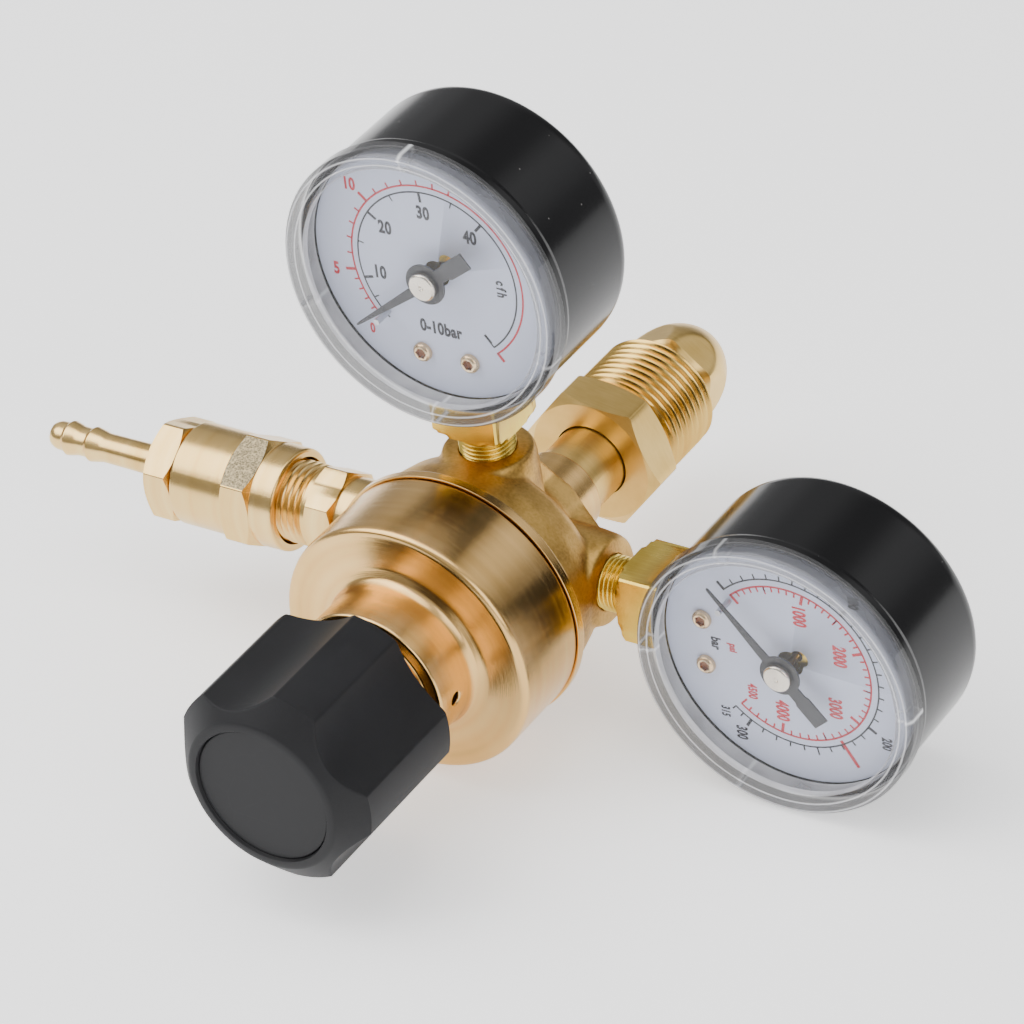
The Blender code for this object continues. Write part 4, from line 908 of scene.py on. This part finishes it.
# ---- Gauge cases: drawn steel cups, stove enamelled gloss black, with a beaded mouth.
# The enamel carries a little orange peel and dust.
def gloss_enamel():
    material, sheet, feed = new_material("black_enamel", roughness=0.1, **{"Specular IOR Level": 0.32})
    where = sheet.node("ShaderNodeTexCoord").out("Object")
    peel = sheet.node("ShaderNodeTexNoise", {}, {"Vector": where, "Scale": 240.0, "Detail": 2.0})
    cloud = sheet.node("ShaderNodeTexNoise", {}, {"Vector": where, "Scale": 38.0, "Detail": 4.0})
    dust = sheet.node("ShaderNodeTexVoronoi", {}, {"Vector": where, "Scale": 210.0})
    speck = (0.045 - dust).math("MULTIPLY", 40.0, clamp=True)
    feed("Base Color", sheet.node("ShaderNodeMix", {"data_type": "RGBA"}, {
        0: speck * 0.5, 6: (0.006, 0.006, 0.0065, 1.0), 7: (0.22, 0.21, 0.20, 1.0)}, out=2))
    feed("Roughness", 0.10 + cloud * 0.14 + speck * 0.5)
    feed("Normal", sheet.node("ShaderNodeBump", {}, {
        "Strength": 0.05, "Distance": 0.0002, "Height": peel + speck * 0.5}))
    return material


def levels(node):
    """Where a piece of a gauge starts and ends along the gauge, from the plane of the ports."""
    low_corner, high_corner = (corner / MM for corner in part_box(node))
    return low_corner.y - port_plane, high_corner.y - port_plane


enamel = gloss_enamel()
case_radius = 26.9
case_bore = 26.1
bead_radius = 27.25
hole_half = stem_across / 2 + 0.3
for name, (face, stem) in gauges.items():
    front, back = levels(f"{name}_gauge_case")
    case = lathe(f"{name}_gauge_case_shell", face, eased([
        (back, 0), (back, case_radius, 3.6), (front + 2.1, case_radius, 0.4), (front + 1.5, bead_radius, 0.3),
        (front, bead_radius, 0.35), (front, case_bore + 0.1, 0.2), (front + 1.2, case_bore),
        (back - 3.0, case_bore), (back - 0.8, 23.4), (back - 0.8, 0),
    ], 7), enamel, 200)
    square_hole = [(-hole_half, -hole_half), (hole_half, -hole_half), (hole_half, hole_half),
                   (-hole_half, hole_half)]
    hole = slab("hole", stem, square_hole, 36.0, 45.0, None)
    merged(case, [hole], "DIFFERENCE")
    case.modifiers.new("even_shading", "WEIGHTED_NORMAL").keep_sharp = True
    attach(case, "regulator")
    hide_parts(f"{name}_gauge_case")


# ---- Lenses: clear moulded plastic, a flat window in a thick ridged rim that snaps on the case.
# The rim shows mould joints and snap notches and looks greyer than the thin window: its grey between the
# ridges and on the outer wall is painted shade, and its pale ridge lines are painted highlights.
def clear_plastic(name, tint, alpha, roughness=0.05):
    material, sheet, feed = new_material(name, roughness=roughness)
    where = sheet.node("ShaderNodeTexCoord").out("Object")
    cloud = sheet.node("ShaderNodeTexNoise", {}, {"Vector": where, "Scale": 70.0, "Detail": 4.0})
    flow = sheet.node("ShaderNodeTexNoise", {}, {"Vector": where, "Scale": 320.0, "Detail": 2.0})
    feed("Base Color", sheet.node("ShaderNodeMix", {"data_type": "RGBA"}, {
        0: cloud, 6: (*(part * 0.85 for part in tint), 1.0), 7: (*tint, 1.0)}, out=2))
    feed("Roughness", roughness + cloud * 0.05)
    feed("Alpha", alpha[0] + (alpha[1] - alpha[0]) * cloud)
    feed("Normal", sheet.node("ShaderNodeBump", {}, {
        "Strength": 0.08, "Distance": 0.0003, "Height": cloud + flow * 0.3}))
    return material


def painted_light_rim(name, face):
    """The lens rim: clear steps with pale ridge lines that are painted highlights, painted shade between them
    and on the dark outer wall where the black case shows through, and mould joints.
    """
    material, sheet, feed = new_material(name, roughness=0.04)
    where = sheet.node("ShaderNodeTexCoord").out("Object")
    offset = sheet.node("ShaderNodeVectorMath", {"operation": "SUBTRACT"},
                        {0: where, 1: tuple(face.origin * MM)})
    across, height = (sheet.node("ShaderNodeVectorMath", {"operation": "DOT_PRODUCT"},
                                 {0: offset, 1: tuple(way)}).out("Value") for way in (face.right, face.up))
    cloud = sheet.node("ShaderNodeTexNoise", {}, {"Vector": where, "Scale": 85.0, "Detail": 4.0})
    radius = (across * across + height * height).math("SQRT") / MM + (cloud - 0.5) * 0.25
    step = (radius - 24.0) / 4.0
    # Tone by radius: the pale stops are painted highlights on the ridges, and the dark stops are painted
    # shade where the black case shows through.
    tone = sheet.node("ShaderNodeValToRGB", {"stops": [
        (place, (level, level, level * 1.03)) for place, level in (
            (0.02, 0.85), (0.07, 0.30), (0.26, 0.24), (0.33, 0.92), (0.40, 0.30), (0.62, 0.22),
            (0.70, 0.90), (0.76, 0.16), (0.86, 0.07), (0.95, 0.045))]}, {0: step})
    # Opacity follows the same rings, so the painted highlights and the painted shade show.
    painted_light_alpha = sheet.node("ShaderNodeValToRGB", {"stops": [
        (place, (level, level, level)) for place, level in (
            (0.02, 0.62), (0.07, 0.16), (0.26, 0.14), (0.33, 0.66), (0.40, 0.18), (0.62, 0.22),
            (0.70, 0.62), (0.76, 0.42), (0.86, 0.66), (0.95, 0.80))]}, {0: step})
    turn = height.math("ARCTAN2", across) / math.tau
    turn = turn - turn.math("FLOOR")
    joints = sheet.node("ShaderNodeValToRGB", {"stops": [
        (place + side * 0.0022, (level, level, level)) for place in (0.25, 0.5556, 0.75, 0.9444)
        for side, level in ((-1, 0.0), (0, 1.0), (1, 0.0))]}, {0: turn})
    joint = joints * 0.7
    feed("Base Color", sheet.node("ShaderNodeMix", {"data_type": "RGBA"}, {
        0: joint, 6: tone, 7: (0.92, 0.93, 0.95, 1.0)}, out=2))
    feed("Roughness", 0.03 + cloud * 0.08)
    feed("Alpha", (painted_light_alpha + joint * 0.5).math("MINIMUM", 0.95))
    feed("Normal", sheet.node("ShaderNodeBump", {}, {
        "Strength": 0.15, "Distance": 0.0003, "Height": cloud + joint}))
    return material


window_plastic = clear_plastic("clear_window", (0.90, 0.92, 0.95), (0.015, 0.05))
lens_radius = 27.7
for name, (face, _) in gauges.items():
    front, _ = levels(f"{name}_gauge_lens")
    rim = lathe(f"{name}_gauge_lens_rim", face, eased([
        (-11.1, lens_radius, 0.2), (front + 1.3, lens_radius, 0.5),
        (front + 0.35, lens_radius - 0.6, 0.5), (front + 0.3, 26.5, 0.3), (front + 0.8, 26.1, 0.25),
        (front + 0.55, 25.5, 0.3), (front + 0.75, 24.9, 0.3),
        (front + 1.5, 24.1), (front + 2.9, 24.1), (-12.6, 25.2, 0.3), (-9.3, 25.25), (-9.3, 25.9),
        (-11.1, 25.9),
    ], 4), painted_light_rim(f"{name}_clear_rim", face), 200)
    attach(rim, "regulator")
    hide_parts(f"{name}_gauge_lens")
    window = lathe(f"{name}_gauge_lens_window", face, [
        (front + 0.35, 0), (front + 0.55, 12.0), (front + 1.0, 20.0), (front + 1.45, 24.0),
        (front + 2.6, 24.0), (front + 2.1, 20.0), (front + 1.7, 12.0), (front + 1.5, 0),
    ], window_plastic, 160)
    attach(window, "regulator")


# ---- Dials: thin painted aluminium discs with black and red screen-printed scales.
# The delivery gauge reads cfh and bar, the cylinder gauge psi and bar.
def painted(name, tone, roughness, mottle=0.06):
    """A thin even coat of paint or ink with slight mottle and texture."""
    material, sheet, feed = new_material(name, roughness=roughness)
    where = sheet.node("ShaderNodeTexCoord").out("Object")
    cloud = sheet.node("ShaderNodeTexNoise", {}, {"Vector": where, "Scale": 90.0, "Detail": 4.0})
    grain = sheet.node("ShaderNodeTexNoise", {}, {"Vector": where, "Scale": 2600.0, "Detail": 2.0})
    feed("Base Color", sheet.node("ShaderNodeMix", {"data_type": "RGBA"}, {
        0: cloud * 0.7 + grain * 0.3, 6: (*(part * (1 - mottle) for part in tone), 1.0),
        7: (*(min(1.0, part * (1 + mottle)) for part in tone), 1.0)}, out=2))
    feed("Roughness", roughness + grain * 0.12 - 0.06)
    feed("Normal", sheet.node("ShaderNodeBump", {}, {
        "Strength": 0.12, "Distance": 0.00002, "Height": grain}))
    return material


def tick_rule(sheet, given):
    """A row of printed bars round the dial, one for each step of angle."""
    count = given["Count"]
    points = sheet.node("GeometryNodePoints", {}, {"Count": count})
    index = sheet.node("GeometryNodeInputIndex")
    angle = given["First"] + given["Step"] * index
    middle = (given["Inner"] + given["Outer"]) * 0.5
    place = sheet.node("ShaderNodeCombineXYZ", {}, {
        "X": middle * angle.math("COSINE"), "Y": middle * angle.math("SINE"), "Z": 0.0})
    points = sheet.node("GeometryNodeSetPosition", {}, {"Geometry": points, "Position": place})
    size = sheet.node("ShaderNodeCombineXYZ", {}, {
        "X": given["Outer"] - given["Inner"], "Y": given["Width"], "Z": given["Thickness"]})
    bar = sheet.node("GeometryNodeMeshCube", {}, {"Size": size})
    turn = sheet.node("ShaderNodeCombineXYZ", {}, {"X": 0.0, "Y": 0.0, "Z": angle})
    bars = sheet.node("GeometryNodeInstanceOnPoints", {}, {
        "Points": points, "Instance": bar.out("Mesh"), "Rotation": turn})
    bars = sheet.node("GeometryNodeRealizeInstances", {}, {"Geometry": bars})
    return sheet.node("GeometryNodeSetMaterial", {}, {"Geometry": bars, "Material": given["Material"]})


dial_ticks = rule("dial_ticks", {
    "Count": "Int", "First": "Float", "Step": "Float", "Inner": "Float", "Outer": "Float",
    "Width": "Float", "Thickness": "Float", "Material": "Material",
}, tick_rule)
INK = 0.03


class Print:
    """All the print of one colour on one dial, gathered into one piece."""

    def __init__(self, name, face, level, ink):
        self.name = name
        self.place = Axis(face.at(0, 0, level) / MM, face.right, face.up, -face.along)
        self.ink = ink
        self.parts = []

    def add(self, mesh, x=0.0, y=0.0, turn=0.0):
        mesh.transform(Matrix.Translation((x, y, 0.0)) @ Matrix.Rotation(math.radians(turn), 4, "Z"))
        self.parts.append(mesh)

    def ticks(self, degrees, inner, outer, width):
        """Bars at one angle, or evenly from one angle to another: (first, last, count)."""
        first, last, count = degrees if isinstance(degrees, tuple) else (degrees, degrees, 1)
        step = (last - first) / max(count - 1, 1)
        row = bpy.data.objects.new("row", bpy.data.meshes.new("row"))
        scene.collection.objects.link(row)
        ruled(row, dial_ticks, count=count, first=math.radians(first), step=math.radians(step),
              inner=inner, outer=outer, width=width, thickness=INK, material=self.ink)
        self.add(row.data)
        bpy.data.objects.remove(row, do_unlink=True)

    def arc(self, radius, width, start, stop):
        steps = max(2, round(abs(stop - start) / 2))
        angles = [math.radians(start + (stop - start) * step / steps) for step in range(steps + 1)]
        flat = Axis((0, 0, 0), (1 / MM, 0, 0), (0, 1 / MM, 0), (0, 0, 1 / MM))
        outline = [((radius + width / 2) * math.cos(angle), (radius + width / 2) * math.sin(angle))
                   for angle in angles]
        outline += [((radius - width / 2) * math.cos(angle), (radius - width / 2) * math.sin(angle))
                    for angle in reversed(angles)]
        band = slab("band", flat, outline, -INK / 2, INK / 2, self.ink)
        self.add(band.data)
        bpy.data.objects.remove(band, do_unlink=True)

    def text(self, words, x, y, tall, narrow=0.74, turn=0.0, apart=1.06):
        """Words centred on a point, this tall, in a narrow plain letter."""
        curve = bpy.data.curves.new("text", "FONT")
        curve.body = words
        curve.resolution_u = 4
        curve.extrude = 0.001
        curve.offset = 0.042
        curve.space_character = apart
        text = bpy.data.objects.new("text", curve)
        scene.collection.objects.link(text)
        mesh = bpy.data.meshes.new_from_object(text.evaluated_get(bpy.context.evaluated_depsgraph_get()))
        bpy.data.objects.remove(text, do_unlink=True)
        corners = [vertex.co for vertex in mesh.vertices]
        low_x, high_x = (pick(corner.x for corner in corners) for pick in (min, max))
        low_y, high_y = (pick(corner.y for corner in corners) for pick in (min, max))
        scale = tall / (high_y - low_y)
        mesh.transform(Matrix.Translation((-(low_x + high_x) / 2, -(low_y + high_y) / 2, 0.0)))
        mesh.transform(Matrix.Diagonal((scale * narrow, scale, INK / 0.002, 1.0)))
        mesh.materials.clear()
        mesh.materials.append(self.ink)
        self.add(mesh, x, y, turn)

    def text_round(self, words, radius, degrees, tall, narrow=0.74, turn=0.0, apart=1.06):
        angle = math.radians(degrees)
        self.text(words, radius * math.cos(angle), radius * math.sin(angle), tall, narrow, turn, apart)

    def finish(self):
        shape = bmesh.new()
        for mesh in self.parts:
            shape.from_mesh(mesh)
        place = self.place
        turn = Matrix((place.right, place.up, -place.along)).transposed().to_4x4()
        bmesh.ops.transform(shape, verts=shape.verts,
                            matrix=Matrix.Translation(place.at(0, 0, 0)) @ turn @ Matrix.Scale(MM, 4))
        bmesh.ops.triangulate(shape, faces=[face for face in shape.faces if len(face.verts) > 4])
        bmesh.ops.recalc_face_normals(shape, faces=shape.faces)
        mesh = bpy.data.meshes.new(self.name)
        shape.to_mesh(mesh)
        shape.free()
        mesh.materials.append(self.ink)
        print_piece = bpy.data.objects.new(self.name, mesh)
        scene.collection.objects.link(print_piece)
        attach(print_piece, "regulator")


dial_paint = painted("dial_lacquer", (0.57, 0.61, 0.76), 0.42, 0.03)
black_ink = painted("black_ink", (0.012, 0.012, 0.02), 0.45, 0.2)
red_ink = painted("red_ink", (0.52, 0.006, 0.022), 0.45, 0.12)
dial_radius = 25.3
dial_hole = 2.6
for name, (face, _) in gauges.items():
    front, back = levels(f"{name}_gauge_dial")
    dial = lathe(f"{name}_gauge_dial_disc", face, [
        (front, dial_hole), (front, dial_radius - 0.1), (front + 0.08, dial_radius), (back, dial_radius),
        (back, dial_hole),
    ], dial_paint, 160)
    second = (2.4, 2.6) if name == "delivery" else (-1.5, 1.9)
    holes = [lathe("hole", face.moved(*second), [(front - 1, 0), (front - 1, 1.82), (back + 1, 1.82),
                                                 (back + 1, 0)], None, 40)]
    merged(dial, holes, "DIFFERENCE")
    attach(dial, "regulator")
    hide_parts(f"{name}_gauge_dial")
    black = Print(f"{name}_gauge_print_black", face, front - INK / 2, black_ink)
    red = Print(f"{name}_gauge_print_red", face, front - INK / 2, red_ink)
    if name == "delivery":
        black.arc(16.4, 0.32, 226, -51)
        for degrees, number in ((195.5, "10"), (143.5, "20"), (96, "30"), (49.5, "40")):
            black.ticks(degrees, 14.4, 16.4, 0.55)
            black.text_round(number, 12.3, degrees - (4 if number == "10" else 0), 2.8)
        for degrees in (210, 169, 119.5, 72.5):
            black.ticks(degrees, 15.2, 16.4, 0.26)
        black.ticks(-50.6, 13.6, 15.6, 0.55)
        black.ticks(-51, 15.4, 16.5, 0.3)
        black.text_round("cfh", 13.4, 0, 2.1, 0.76, -90, 1.5)
        black.text("0-10bar", -0.6, -11.6, 2.7, 0.76)
        red.arc(17.7, 0.36, 224, -52)
        for degrees, number in ((190, "5"), (137.5, "10")):
            red.ticks(degrees, 17.7, 19.9, 0.6)
            red.text_round(number, 22.0, degrees, 2.7)
        red.ticks(222, 17.7, 19.6, 0.6)
        red.text_round("0", 21.6, 224, 2.2)
        red.ticks((215.6, 196.4, 4), 17.7, 18.8, 0.34)
        red.ticks((179.5, 148.0, 4), 17.7, 18.8, 0.34)
        red.ticks((127.5, 75.0, 6), 17.7, 18.8, 0.34)
        red.ticks(-51.6, 17.6, 19.6, 0.6)
    else:
        red.arc(16.2, 0.38, 224, -42)
        scale = (223.0, 167.0, 114.0, 55.0, -10.0, -42.0)
        for step, (start, stop) in enumerate(zip(scale, scale[1:])):
            divisions = 5 if step == 4 else 10
            gap = (stop - start) / divisions
            red.ticks((start + gap, stop - gap, divisions - 1), 15.1, 16.2, 0.34)
            if divisions == 10:
                red.ticks(start + gap * 5, 14.6, 16.2, 0.3)
            red.ticks(start, 14.1, 16.2, 0.6)
        red.ticks(-42, 14.4, 16.3, 0.4)
        for degrees, number in ((166, "1000"), (114, "2000"), (50, "3000"), (-12, "4000")):
            red.text_round(number, 11.3, degrees, 2.8, 0.60)
        red.text_round("4500", 11.9, -44, 2.0, 0.62)
        red.ticks(33, 16.9, 22.9, 0.7)
        red.text("psi", 0, -11.8, 2.1, 0.72)
        black.text("bar", 0, -15.0, 2.1, 0.72)
        black.arc(17.7, 0.32, 225, -43)
        black.ticks((215.7, 66.3, 19), 17.7, 18.8, 0.32)
        black.ticks((49.1, -22.1, 9), 17.7, 18.8, 0.32)
        for degrees in (224, 141, 58, -31):
            black.ticks(degrees, 17.7, 19.6, 0.6)
        black.ticks(13.5, 17.7, 19.4, 0.3)
        black.ticks(-37, 17.7, 18.8, 0.32)
        black.ticks(-43, 17.6, 18.8, 0.3)
        black.text_round("100", 22.0, 141, 2.2, 0.62)
        black.text_round("200", 22.2, 57, 2.2, 0.62)
        black.text_round("300", 21.9, -31, 2.4, 0.62)
        black.text_round("315", 20.6, -44, 1.9, 0.62)
    black.finish()
    red.finish()


# ---- Dial screws: small brass pan heads with a hexagon socket, two below each pointer.
# They hold the dial to the gauge's socket block.
screw_brass = turned_brass("screw_brass", main, (0.86, 0.68, 0.42), (0.62, 0.40, 0.22), (0.18, 0.3))
# A dark brown brass for the inside of the hexagon socket: painted shade in the recess.
stained_brass = milled_brass("stained_brass", (0.42, 0.20, 0.10), (0.20, 0.08, 0.04), 0.5, 0.2)
for name, (face, _) in gauges.items():
    for side in ("left", "right"):
        node = f"{name}_gauge_dial_screw_{side}"
        low_corner, high_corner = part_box(node)
        centre = (low_corner + high_corner) / 2 / MM
        axis = Axis((centre.x, port_plane, centre.z), face.right, face.up, face.along)
        front, back = low_corner.y / MM - port_plane, high_corner.y / MM - port_plane
        recess = [lambda angle, place=place: (place, 0.92 / math.cos(angle % (math.pi / 3) - math.pi / 6))
                  for place in (front + 0.06, front + 0.75)]
        screw = lathe(f"{node}_head", axis, [
            *eased([(back, 0), (back, 0.9), (-8.72, 0.9), (-8.72, 1.85, 0.15), (front + 0.35, 1.85, 0.4),
                    (front, 1.3), (front, 1.16)], 5), *recess, (front + 0.95, 0)], screw_brass, 48)
        screw.data.materials.append(stained_brass)
        # The socket's walls and floor take the dark brass: painted shade in the recess.
        for polygon in screw.data.polygons:
            arm = polygon.center - axis.origin * MM
            arm -= axis.along * arm.dot(axis.along)
            if arm.length < 1.02 * MM and (polygon.center.y / MM - port_plane) < front + 1.0:
                polygon.material_index = 1
        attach(screw, "regulator")
        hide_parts(node)


# ---- Pointers: stamped aluminium, anodised dark grey, pressed on the pinion's arbor.
# A turned cap with a centre mark hides the end of the arbor.
def pointer_outline(hub=4.0, needle=0.95, tip=20.0, neck=1.35, tail=1.7, end=11.5):
    front = math.asin(needle / hub)
    rear = math.pi - math.asin(neck / hub)
    arc = [front + (rear - front) * step / 16 for step in range(17)]
    upper = [(tip + 0.2, 0.12), (tip - 0.3, 0.25)]
    upper += [(hub * math.cos(angle), hub * math.sin(angle)) for angle in arc]
    upper += [(-5.7, neck), (-6.2, tail), (-end, tail)]
    return upper + [(x, -y) for x, y in reversed(upper)]


pointer_grey = painted("pointer_grey", (0.030, 0.030, 0.035), 0.36, 0.15)
cap_metal = turned_brass("pointer_cap_metal", main, (0.80, 0.74, 0.64), (0.62, 0.56, 0.48), (0.16, 0.28), 0.2)
for name, turn in (("delivery", 217.3), ("cylinder", 222.3)):
    face, _ = gauges[name]
    front, back = levels(f"{name}_gauge_pointer")
    turn = math.radians(turn)
    along_needle = face.right * math.cos(turn) + face.up * math.sin(turn)
    across_needle = face.up * math.cos(turn) - face.right * math.sin(turn)
    blade = Axis(face.origin, along_needle, across_needle, face.along)
    pointer = slab(f"{name}_gauge_pointer_blade", blade, pointer_outline(), front, back, pointer_grey)
    broken = pointer.modifiers.new("broken_edges", "BEVEL")
    broken.width = 0.09 * MM
    broken.segments = 2
    settled(pointer)
    pointer.modifiers.new("even_shading", "WEIGHTED_NORMAL").keep_sharp = True
    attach(pointer, f"{name}_pointer")
    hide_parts(f"{name}_gauge_pointer")
    front, back = levels(f"{name}_gauge_pointer_cap")
    cap = lathe(f"{name}_gauge_pointer_cap_disc", face, eased([
        (back, 0), (back, 2.7, 0.1), (front + 0.25, 2.7, 0.3), (front, 2.35, 0.1), (front, 0.5, 0.1),
        (front + 0.25, 0.3), (front + 0.35, 0),
    ]), cap_metal, 72)
    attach(cap, f"{name}_pointer")
    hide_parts(f"{name}_gauge_pointer_cap")


# ---- The pieces inside, and the stop pins, keep their CAD shape.
# Springs, screw and plates are zinc-plated steel; the rest is brass, bronze, rubber or nylon.
plated = turned_brass("zinc_plated_steel", main, (0.62, 0.63, 0.66), (0.42, 0.43, 0.45), (0.28, 0.42))
bronze = milled_brass("sintered_bronze", (0.50, 0.31, 0.16), (0.24, 0.13, 0.06), 0.62, 0.6)
rubber = moulded_plastic("diaphragm_rubber", (0.02, 0.02, 0.02), 0.7, 0.3)
nylon = moulded_plastic("nylon", (0.70, 0.66, 0.56), 0.42)
washer_brown = moulded_plastic("washer_rubber", (0.03, 0.028, 0.026), 0.65, 0.3)
kept = {
    "steel": (plated, ["slip_ring", "diaphragm_plate", "spring_button", "adjusting_spring",
                       "adjusting_screw", "knob_screw", "valve_spring"]
              + [f"{name}_gauge_stop_pin" for name in gauges]),
    "rubber": (rubber, ["diaphragm", "outlet_washer"]),
    "nylon": (nylon, ["poppet_seat"]),
    "sintered_bronze": (bronze, ["inlet_filter"]),
    "turned_brass": (bonnet_finish, ["nozzle", "poppet"]),
    "yellow_brass": (socket_brass, [
        f"{name}_gauge_{piece}" for name in gauges
        for piece in ("movement_frame", "bourdon_tube", "sector", "link", "pinion")]),
}
for slot_name, (finish, names) in kept.items():
    for node in names:
        nodes[node].data.materials.clear()
        nodes[node].data.materials.append(finish)
